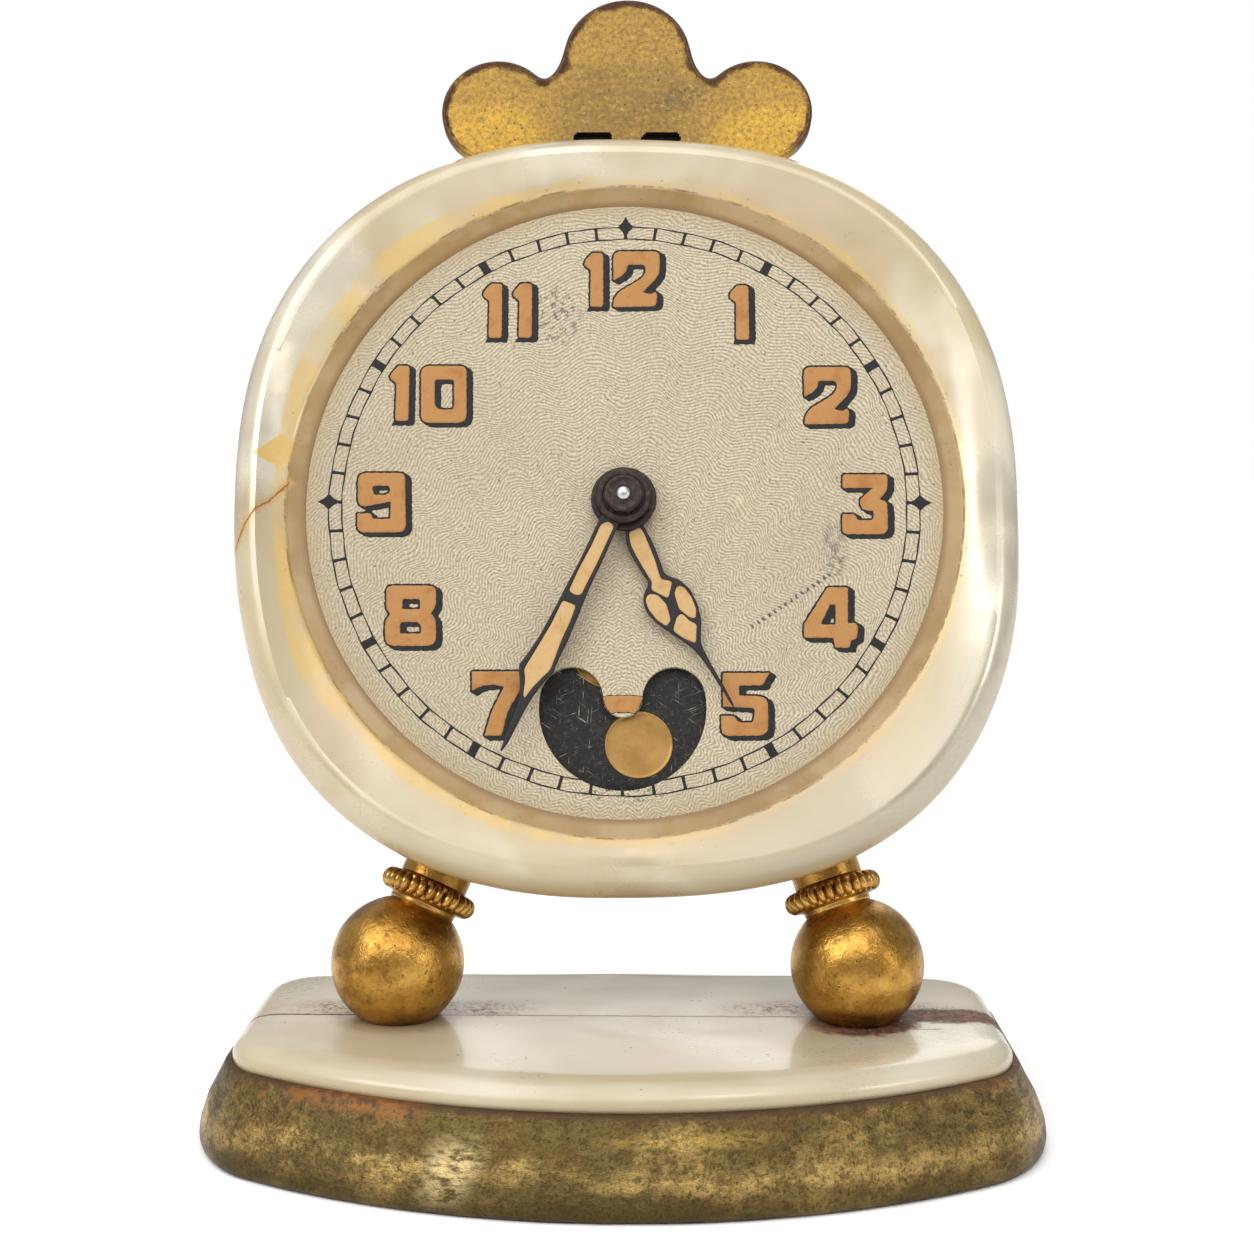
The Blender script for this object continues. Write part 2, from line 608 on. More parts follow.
@dataclass(frozen=True)
class SlabPearl(Pearl):
    """Pearl of the slab, with rust and dirt along its seam and round the feet."""

    cream: Colour = (0.44, 0.375, 0.25)
    white: Colour = (0.53, 0.48, 0.37)
    rose: Colour = (0.48, 0.395, 0.285)
    green: Colour = (0.44, 0.42, 0.3)
    layer: float = 0.035
    gloss: float = 0.05
    coat: float = 0.2
    edge: Colour = (0.42, 0.31, 0.13)
    film: Colour = (0.33, 0.215, 0.10)
    dust: Colour = (0.15, 0.088, 0.042)
    dark_rust: Colour = (0.06, 0.022, 0.014)
    rust: Colour = (0.20, 0.085, 0.045)
    shade: Colour = (0.24, 0.19, 0.125)

    def write(self, book: FinishBook) -> None:
        """Shell, yellowed edge, brown seam, dust and the rust by the right foot."""
        at = book.place()
        x, y, z = book.split(at)
        shell, lustre = self.layers(book, at)
        fine = book.noise(at, 0.9, 5.0, 0.7)
        cloud = book.noise(at, 0.16, 4.0, 0.6)
        grit = book.noise(at, 2.6, 4.0, 0.8)
        seam = abs(y + (fine - 0.5) * 0.7).ramp(0.3, 0.08) * (0.45 + abs(x).ramp(16.0, 24.0) * 0.55)
        across = abs(x - FEET_SIDEWAYS)
        away = (across - FOOT_SPREAD).length_with(y)
        right = x.ramp(14.5, 18.0)
        band = (abs(y - 0.7 + (cloud - 0.5) * 2.4) + (fine - 0.5) * 2.2).ramp(2.7, 1.5) * right
        ring = (away + (fine - 0.5) * 2.4).ramp(6.1, 4.9)
        crust = band.greater(ring * (0.15 + right * 0.85)) * (grit * 0.5 + fine * 0.5).ramp(0.33, 0.46)
        dust = (abs(y - 2.0 + (cloud - 0.5) * 3.0) + (fine - 0.5) * 3.0).ramp(3.4, 0.9)
        dust = dust * abs(across - 19.0).ramp(13.5, 5.5)
        film = dust * 0.42
        dust = dust * (grit * 0.6 + fine * 0.4).ramp(0.47, 0.57) * 0.85
        spur = abs(y + 3.4 + (cloud - 0.5) * 1.5).ramp(0.16, 0.05) * abs(x - 24.0).ramp(3.2, 2.6)
        speck = book.cells(at, 0.45).ramp(0.075, 0.04) * cloud.ramp(0.48, 0.54)
        faint = abs(y - 0.5).ramp(5.0, 0.5) * cloud.ramp(0.44, 0.62) * 0.4
        rust = seam.greater(crust, spur * 0.8, speck * 0.7)
        colour = book.over(shell,
                           (z.ramp(SLAB_TOP - 0.7, SLAB_TOP - 2.2) * 0.45, self.edge),
                           ((band * 0.8).greater(ring * 0.4, film, faint), self.film),
                           (dust, self.dust),
                           (rust, book.blend(fine.ramp(0.42, 0.6), self.dark_rust, self.rust)),
                           (y.ramp(4.0, 16.0) * 0.35, self.shade))
        self.finish(book, at, colour, lustre * 0.4, rust.greater(dust))


@dataclass(frozen=True)
class EngineTurned(Finish):
    """Silvered dial: waved engine turning about the moon's centre, specks and wear."""

    pitch: float = 0.315
    waves: float = 33.0
    wave_height: float = 0.52
    light: Colour = (0.51, 0.435, 0.305)
    shade: Colour = (0.22, 0.18, 0.12)
    tarnish: Colour = (0.30, 0.235, 0.15)
    crest: Colour = (0.70, 0.64, 0.5)
    rim: Colour = (0.33, 0.24, 0.12)
    bare: Colour = (0.06, 0.055, 0.045)
    drop: Colour = (0.62, 0.52, 0.36)
    trail: tuple[Point, Point] = ((17.4, -6.4), (10.95, -10.85))

    def write(self, book: FinishBook) -> None:
        """Waved arcs with a slight wander, over a mottled silver."""
        at = book.head_place()
        x, y, _ = book.split(at)
        down = y + MOON_DROP
        reach = x.length_with(down)
        wander = book.noise(at, 0.22, 2.0, 0.5)
        grain = book.noise(at, 2.4, 2.0, 0.6)
        fine = book.noise(at, 4.5, 4.0, 0.8)
        cloud = book.noise(at, 0.09, 4.0, 0.6)
        swing = (x.angle_with(down) * self.waves + (wander - 0.5) * 3.6 + reach * 0.06).sine()
        height = self.wave_height * reach.ramp(-2.0, 20.0)
        phase = reach + swing * height + (wander - 0.5) * 1.6 + (grain - 0.5) * 0.15
        groove = (phase * (math.tau / self.pitch)).sine() * 0.5 + 0.5
        groove = groove * (0.35 + grain * 0.85)
        speck = book.cells(at, 1.35).ramp(0.15, 0.08) * book.noise(at, 0.45, 2.0).ramp(0.46, 0.56)
        dark = (speck * 0.8).greater(self._worn(book, x, y, grain, fine))
        pale = (oval(x, y, (9.9, 0.3), (1.0, 1.0)) + fine * 0.25).ramp(0.4, 0.2)
        colour = book.over(book.blend(groove.ramp(0.1, 0.9) * 0.8, self.light, self.shade),
                           (cloud.ramp(0.42, 0.7) * 0.25, self.tarnish),
                           (x.ramp(-4.0, -26.0) * 0.3, self.tarnish),
                           (fine.ramp(0.52, 0.36) * 0.75, self.shade),
                           (fine.ramp(0.52, 0.68) * 0.65, self.crest),
                           (x.length_with(y).ramp(DIAL_OPENING - 2.0, DIAL_OPENING + 0.2) * 0.45, self.rim),
                           (dark, self.bare),
                           (pale * 0.3, self.drop))
        book.set(Base_Color=colour, Metallic=0.28 - dark * 0.2, Roughness=0.5 + fine * 0.15)
        book.set(Normal=book.bump(groove * -0.7 + fine * 0.5, 0.045, 0.85))

    def _worn(self, book: FinishBook, x: Signal, y: Signal, grain: Signal, fine: Signal) -> Signal:
        """Mask of the rubbed marks by 11, the cloud and dotted trail by 4, and the foot."""
        along, aside, length = beside(x, y, *self.trail)
        thin = abs(aside + (fine - 0.5) * 0.4).ramp(0.26, 0.1)
        run = abs(along - length / 2).ramp(length / 2 + 0.4, length / 2)
        dots = (along * 11.0 + grain * 6.0).sine().ramp(0.2, 0.6) * thin * run
        blot = book.noise(book.head_place(), 1.7, 4.0, 0.7)
        cloudy = oval(x, y, (18.0, -4.3), (0.7, 0.12)).ramp(1.3, 0.2) * blot.ramp(0.44, 0.62)
        rubbed = oval(x, y, (-5.9, 17.2), (0.2, 0.1)).ramp(1.3, 0.2) * blot.ramp(0.52, 0.58)
        foot = oval(x, y, (0.0, -25.2), (0.06, 1.5)).ramp(1.2, 0.3) * grain.ramp(0.55, 0.62)
        return dots.greater(cloudy * 0.7, rubbed * 0.75, foot * 0.8)


@dataclass(frozen=True)
class Paint(Finish):
    """Enamel or printing ink with worn spots."""

    colour: Colour = (0.009, 0.0085, 0.009)
    worn: Colour = (0.05, 0.047, 0.042)
    hair: Colour = (0.42, 0.38, 0.31)
    roughness: float = 0.5
    scratches: float = 0.0
    wear: float = 0.3
    relief: float = 0.02

    def write(self, book: FinishBook) -> None:
        """Mottled paint, and fine pale scratches where asked."""
        fine = book.noise(book.place(), 2.2, 4.0, 0.7)
        hairs = self._hairs(book) * self.scratches
        colour = book.blend(fine.ramp(0.45, 0.75) * self.wear, self.colour, self.worn)
        book.set(Base_Color=book.over(colour, (hairs, self.hair)), Metallic=hairs * 0.5,
                 Roughness=self.roughness + fine * 0.2, Specular_IOR_Level=0.25,
                 Normal=book.bump(fine, self.relief))

    @staticmethod
    def _hairs(book: FinishBook) -> Signal:
        """Fine scratches in a few directions, broken up by noise."""
        at = book.head_place()
        hairs = []
        for turn in (0.4, 1.5, 2.5):
            inputs = {"Vector": at, "Rotation": (0.0, 0.0, turn), "Scale": (3.2, 0.11, 1.0)}
            spin = book.node("ShaderNodeMapping", {"vector_type": "TEXTURE"}, inputs)
            hairs.append(book.noise(spin, 1.3, 1.0, 0.4, 0.5).ramp(0.70, 0.76))
        broken = hairs[0].greater(*hairs[1:]) * book.noise(at, 0.9, 3.0, 0.7).ramp(0.4, 0.62)
        return broken.greater(book.noise(at, 4.0, 3.0, 0.8).ramp(0.64, 0.74) * 0.5)


@dataclass(frozen=True)
class Lume(Finish):
    """Old luminous paste: orange or cream, mottled and slightly domed."""

    colour: Colour = (0.37, 0.175, 0.05)
    deep: Colour = (0.31, 0.11, 0.022)
    pale: Colour = (0.42, 0.25, 0.105)
    grain: Colour = (0.16, 0.07, 0.02)

    def write(self, book: FinishBook) -> None:
        """Mottling at two scales with dark grains."""
        at = book.place()
        cloud = book.noise(at, 0.55, 3.0, 0.6)
        fine = book.noise(at, 3.2, 4.0, 0.7)
        grain = book.cells(at, 2.2).ramp(0.12, 0.06) * cloud.ramp(0.45, 0.6)
        colour = book.over(book.blend(cloud.ramp(0.5, 0.72) * 0.75, self.colour, self.deep),
                           (fine.ramp(0.5, 0.8) * 0.5, self.pale), (grain * 0.7, self.grain))
        book.set(Base_Color=colour, Roughness=0.72 + fine * 0.1, Normal=book.bump(fine, 0.05))


@dataclass(frozen=True)
class Steel(Finish):
    """Bright or blued steel with fine turning marks."""

    colour: Colour = (0.55, 0.55, 0.55)
    roughness: float = 0.25

    def write(self, book: FinishBook) -> None:
        """Slight tarnish and polish lines."""
        fine = book.noise(book.place(), 1.4, 4.0, 0.65)
        colour = book.blend(fine.ramp(0.5, 0.75) * 0.5, self.colour, toned(self.colour, 0.45))
        lines = book.noise(book.place((0.3, 3.0, 3.0)), 1.5)
        book.set(Base_Color=colour, Metallic=1.0, Roughness=self.roughness + fine * 0.2,
                 Normal=book.bump(lines, 0.01))


@dataclass(frozen=True)
class Felt(Finish):
    """Felt of the base pad."""

    colour: Colour = (0.035, 0.05, 0.032)

    def write(self, book: FinishBook) -> None:
        """Matted fibres."""
        fibre = book.noise(book.place(), 3.0, 6.0, 0.8, 1.0)
        book.set(Base_Color=book.blend(fibre, self.colour, toned(self.colour, 2.2)), Roughness=0.95,
                 Normal=book.bump(fibre, 0.2))


@dataclass(frozen=True)
class Paper(Finish):
    """Plain pale floor, with the faintest mottling."""

    def write(self, book: FinishBook) -> None:
        """Almost even white."""
        cloud = book.noise(book.place(), 0.01, 2.0)
        book.set(Base_Color=book.blend(cloud, (0.97, 0.97, 0.97), (0.99, 0.99, 0.99)), Roughness=0.9)


class Coat(Enum):
    """Every finish of the clock."""

    GILT = Brass("gilt_brass_finish", light=(0.58, 0.33, 0.075), dark=(0.3, 0.15, 0.028),
                 roughness=0.27, blotch=0.3, pits=1.9, pit_size=0.2, mottle=0.95, dent=0.1)
    COLLAR = Brass("collar_brass_finish", light=(0.56, 0.33, 0.09), dark=(0.28, 0.14, 0.03),
                   roughness=0.25, blotch=0.4, pits=2.2, pit_size=0.05, stroke_depth=0.0005, dent=0.002)
    CREST = CrestBrass("crest_brass_finish")
    SHEET = Brass("sheet_brass_finish", light=(0.58, 0.39, 0.15), dark=(0.33, 0.2, 0.07),
                  roughness=0.36, blotch=0.1, pits=0.9)
    WORKS = Brass("movement_brass_finish", light=(0.68, 0.5, 0.22), dark=(0.5, 0.34, 0.13),
                  blotch=0.2, pits=0.8, pit_size=0.05)
    MOON = Brass("moon_gold_finish", light=(0.37, 0.215, 0.07), dark=(0.28, 0.155, 0.046),
                 roughness=0.42, blotch=0.35, pits=3.0, pit_size=0.07, metal=0.85)
    BASE = CastBase("cast_brass_finish")
    BEZEL = BezelPearl("bezel_pearl_finish")
    SLAB = SlabPearl("slab_pearl_finish")
    DIAL = EngineTurned("dial_silver_finish")
    PRINT = Paint("dial_print_finish")
    HAND = Paint("hand_black_finish", colour=(0.014, 0.0125, 0.012), worn=(0.06, 0.052, 0.044),
                 roughness=0.4)
    HUB = Paint("hub_brown_finish", colour=(0.015, 0.009, 0.007), worn=(0.10, 0.052, 0.036),
                roughness=0.3, wear=0.7)
    NIGHT = Paint("moon_black_finish", colour=(0.008, 0.0075, 0.0075), worn=(0.045, 0.034, 0.025),
                  scratches=1.0, roughness=0.45, wear=0.8)
    SLOT = Paint("slot_black_finish", colour=(0.006, 0.005, 0.004), roughness=0.8)
    NUMERAL = Lume("numeral_lume_finish")
    HAND_LUME = Lume("hand_lume_finish", colour=(0.48, 0.305, 0.13), deep=(0.39, 0.195, 0.06),
                     pale=(0.55, 0.4, 0.23))
    STEEL = Steel("steel_finish")
    BLUED = Steel("blued_steel_finish", colour=(0.05, 0.08, 0.2))
    FELT = Felt("felt_finish")
    FLOOR = Paper("floor_finish")


# ---------------------------------------------------------------- mesh drafting

Height = Union[float, np.ndarray]
Field = Callable[[np.ndarray, np.ndarray], np.ndarray]


def placed(name: str, data: bpy.types.ID) -> bpy.types.Object:
    """New object of these data, linked to the scene."""
    made = bpy.data.objects.new(name, data)
    bpy.context.scene.collection.objects.link(made)
    return made


def turns(count: int) -> np.ndarray:
    """Evenly spaced angles round a full turn, in radians."""
    return np.linspace(0.0, math.tau, count, endpoint=False)


def ring(turn: np.ndarray, reach: Height, height: Height) -> np.ndarray:
    """Points at a reach from the axis and at a height, one for each turn."""
    rise = np.broadcast_to(height, turn.shape)
    return np.stack([reach * np.cos(turn), reach * np.sin(turn), rise], axis=1)


def swung(across: Height, up: Height, bearing: float) -> tuple[Height, Height]:
    """Place turned clockwise by a bearing in radians."""
    c, s = math.cos(bearing), math.sin(bearing)
    return across * c + up * s, up * c - across * s


def bent(before: Sequence[float], at: Sequence[float], after: Sequence[float], size: float,
         shares: Iterable[float], limit: float) -> list[np.ndarray]:
    """Points of a corner that is rounded.

    Args:
        before: point before the corner.
        at: the corner.
        after: point after the corner.
        size: length over which it is rounded.
        shares: places along the rounding, from 0 to 1.
        limit: largest share of either side that the rounding takes.

    Returns:
        One point for each share.
    """
    middle = np.array(at, float)
    ends = []
    for other in (before, after):
        side = np.array(other, float) - middle
        length = np.linalg.norm(side)
        ends.append(middle + side / length * min(size, limit * length))
    return [(1 - t) ** 2 * ends[0] + 2 * t * (1 - t) * middle + t ** 2 * ends[1] for t in shares]


class Draft:
    """Points in millimetres and faces of one piece, before it becomes an object."""

    def __init__(self) -> None:
        """Start empty."""
        self.points: list[np.ndarray] = []
        self.faces: list[tuple[int, ...]] = []
        self.count = 0

    def add(self, points: np.ndarray, faces: Iterable[Sequence[int]]) -> None:
        """Append points and the faces that index them."""
        self.faces.extend(tuple(int(i) + self.count for i in face) for face in faces)
        self.points.append(np.asarray(points, float))
        self.count += len(points)

    def grid(self, rows: np.ndarray, closed: bool = True, flip: bool = False) -> None:
        """Append a net of points, rows by columns.

        Args:
            rows: array of rows x columns x 3.
            closed: whether the last column joins the first.
            flip: whether the faces turn the other way.
        """
        down, across = rows.shape[:2]
        faces = []
        for i in range(down - 1):
            for j in range(across if closed else across - 1):
                k = (j + 1) % across
                quad = (i * across + j, i * across + k, (i + 1) * across + k, (i + 1) * across + j)
                faces.append(quad[::-1] if flip else quad)
        self.add(rows.reshape(-1, 3), faces)

    def build(self, name: str, place: Matrix, coat: Coat, sharp: float = 40.0,
              weld: float = 0.0005) -> bpy.types.Object:
        """Make the object.

        Args:
            name: piece name.
            place: matrix from the draft's millimetres to the row frame.
            coat: finish of the whole piece.
            sharp: angle in degrees above which an edge stays sharp.
            weld: distance in millimetres within which points merge.

        Returns:
            The new object, linked to the scene.
        """
        table = np.array(place)
        points = np.concatenate(self.points) @ table[:3, :3].T + table[:3, 3]
        mesh = bpy.data.meshes.new(name)
        mesh.from_pydata(points.tolist(), [], self.faces)
        piece = placed(name, mesh)
        if weld > 0.0:
            self._tidy(mesh, weld * MM)
        mesh.polygons.foreach_set("use_smooth", [True] * len(mesh.polygons))
        mesh.set_sharp_from_angle(angle=math.radians(sharp))
        mesh.materials.append(coat.value.material())
        mesh.update()
        return piece

    @staticmethod
    def _tidy(mesh: bpy.types.Mesh, distance: float) -> None:
        """Merge near points and turn the faces outwards."""
        work = bmesh.new()
        work.from_mesh(mesh)
        bmesh.ops.remove_doubles(work, verts=work.verts, dist=distance)
        bmesh.ops.recalc_face_normals(work, faces=work.faces)
        work.to_mesh(mesh)
        work.free()


def lathe(profile: Sequence[Point], steps: int, wobble: float = 0.0) -> np.ndarray:
    """Net of a turned shape about z.

    Args:
        profile: (radius, height) points.
        steps: columns round the axis.
        wobble: slight unevenness of the radius, in millimetres.

    Returns:
        Rows x steps x 3 points.
    """
    turn = turns(steps)
    uneven = wobble * (np.sin(3 * turn + 0.7) + 0.6 * np.sin(5 * turn + 2.0))
    return np.array([ring(turn, radius + uneven * (radius > 0), height) for radius, height in profile])


def eased(profile: Sequence[Point], size: float, steps: int = 4) -> list[Point]:
    """Open profile with each inner corner rounded over a length of size."""
    out = [profile[0]]
    shares = np.linspace(0.0, 1.0, steps)
    for corner in zip(profile, profile[1:], profile[2:]):
        out.extend(tuple(point) for point in bent(*corner, size, shares, 0.45))
    out.append(profile[-1])
    return out


# ---------------------------------------------------------------- flat shapes by distance

def rounded(corners: Sequence[Union[Point, Corner]], size: float = 0.1) -> np.ndarray:
    """Closed outline with its corners rounded; a third number is that corner's own size."""
    out = []
    for i, corner in enumerate(corners):
        before, after = corners[i - 1][:2], corners[(i + 1) % len(corners)][:2]
        own = corner[2] if len(corner) > 2 else size
        out.extend(bent(before, corner[:2], after, own, (0.0, 0.25, 0.5, 0.75, 1.0), 0.48))
    return np.array(out)


def outline_field(outline: np.ndarray) -> Field:
    """Signed distance to a closed outline, negative inside."""
    tiny = 1e-12

    def distance(x: np.ndarray, y: np.ndarray) -> np.ndarray:
        """Distance of every point of a grid."""
        best = np.full(x.shape, np.inf)
        inside = np.zeros(x.shape, bool)
        for (ax, ay), (bx, by) in zip(outline, np.roll(outline, -1, axis=0)):
            dx, dy = bx - ax, by - ay
            length = dx * dx + dy * dy
            if length < tiny:
                continue
            t = np.clip(((x - ax) * dx + (y - ay) * dy) / length, 0.0, 1.0)
            best = np.minimum(best, (x - ax - t * dx) ** 2 + (y - ay - t * dy) ** 2)
            crosses = (ay > y) != (by > y)
            inside ^= crosses & (x < dx * (y - ay) / (dy or tiny) + ax)
        return np.where(inside, -1.0, 1.0) * np.sqrt(best)

    return distance


def both(first: Field, second: Field) -> Field:
    """Shape that either field covers."""
    return lambda x, y: np.minimum(first(x, y), second(x, y))


def cut(first: Field, second: Field) -> Field:
    """First shape without the second."""
    return lambda x, y: np.maximum(first(x, y), -second(x, y))


def grown(shape: Field, size: float) -> Field:
    """Shape grown outwards by size."""
    return lambda x, y: shape(x, y) - size


def dragged(shape: Field, shift: Point, steps: int = 6) -> Field:
    """Shape swept along a straight shift."""
    shares = np.linspace(0.0, 1.0, steps)
    return lambda x, y: np.min([shape(x - s * shift[0], y - s * shift[1]) for s in shares], axis=0)


def ragged(shape: Field, size: float, seed: float) -> Field:
    """Shape whose edge wanders by about size, as printed edges do."""
    waves = ((1.0, 9.1, 5.3, 1.0), (1.0, -7.7, 11.9, 2.1), (0.7, 17.3, -13.1, 0.7))

    def distance(x: np.ndarray, y: np.ndarray) -> np.ndarray:
        """Distance with a small wandering offset."""
        rough = sum(share * np.sin(a * x + b * y + c * seed) for share, a, b, c in waves)
        return shape(x, y) + size * 0.45 * rough

    return distance


@dataclass(frozen=True)
class Sheet:
    """A flat shape meshed on a grid whose rim is drawn onto the shape's edge."""

    shape: Field
    low: Point
    high: Point
    step: float = 0.06

    def mesh(self) -> tuple[np.ndarray, np.ndarray, np.ndarray]:
        """Mesh the shape.

        Returns:
            Points (n x 2), quads (m x 4) and depth inside the edge at each point.
        """
        step = self.step
        axes = [np.arange(low, high + step, step) for low, high in zip(self.low, self.high)]
        x, y = np.meshgrid(*axes, indexing="ij")
        value = self.shape(x, y)
        index = np.arange(x.size).reshape(x.shape)
        inside, corners = [], []
        for right, up in ((0, 0), (1, 0), (1, 1), (0, 1)):
            part = np.s_[right:x.shape[0] - 1 + right, up:x.shape[1] - 1 + up]
            inside.append(value[part] < 0.0)
            corners.append(index[part])
        quads = np.stack(corners, axis=-1)[np.any(inside, axis=0)]
        used, quads = np.unique(quads, return_inverse=True)
        px, py, depth = x.ravel()[used], y.ravel()[used], value.ravel()[used]
        rim = depth > -0.3 * step
        for _ in range(3):
            px[rim], py[rim] = self._drawn(px[rim], py[rim])
        return np.stack([px, py], axis=1), quads.reshape(-1, 4), np.where(rim, 0.0, -depth)

    def _drawn(self, x: np.ndarray, y: np.ndarray) -> tuple[np.ndarray, np.ndarray]:
        """Points moved one step towards the shape's edge, along the field's slope."""
        away = self.shape(x, y)
        e = self.step * 0.2
        gx = (self.shape(x + e, y) - self.shape(x - e, y)) / (2 * e)
        gy = (self.shape(x, y + e) - self.shape(x, y - e)) / (2 * e)
        size = np.maximum(gx * gx + gy * gy, 0.2)
        return x - away * gx / size, y - away * gy / size

    def solid(self, top: Field, bottom: Field) -> Draft:
        """Draft of the shape between two heights.

        Args:
            top: height of the upper face from points and depth.
            bottom: height of the lower face from points and depth.

        Returns:
            Closed draft with walls round every edge.
        """
        points, quads, depth = self.mesh()
        faces_at = [np.column_stack([points, height(points, depth)]) for height in (top, bottom)]
        count = len(points)
        edges = np.concatenate([quads[:, [i, (i + 1) % 4]] for i in range(4)])
        _, first, times = np.unique(np.sort(edges, axis=1), axis=0, return_index=True,
                                    return_counts=True)
        one, two = edges[first[times == 1]].T
        walls = np.stack([two, one, one + count, two + count], axis=1)
        draft = Draft()
        draft.add(np.concatenate(faces_at), np.concatenate([quads, quads[:, ::-1] + count, walls]))
        return draft


def level(height: float) -> Field:
    """Flat face at one height."""
    return lambda points, depth: np.full(len(depth), height)


def crowned(base: float, rise: float, reach: float) -> Field:
    """Face that rises in a quarter round from its edge and then lies flat."""
    return lambda points, depth: base + rise * np.sqrt(1.0 - (1.0 - np.clip(depth / reach, 0.0, 1.0)) ** 2)


# ---------------------------------------------------------------- dial

@dataclass
class Numeral:
    """One figure: outlines of its lume and the holes in it, in millimetres."""

    outer: tuple[Corner, ...]
    holes: tuple[tuple[Corner, ...], ...] = ()

    def field(self) -> Field:
        """Distance field of the figure."""
        outer, *holes = (outline_field(rounded(part)) for part in (self.outer, *self.holes))
        return reduce(cut, holes, outer)


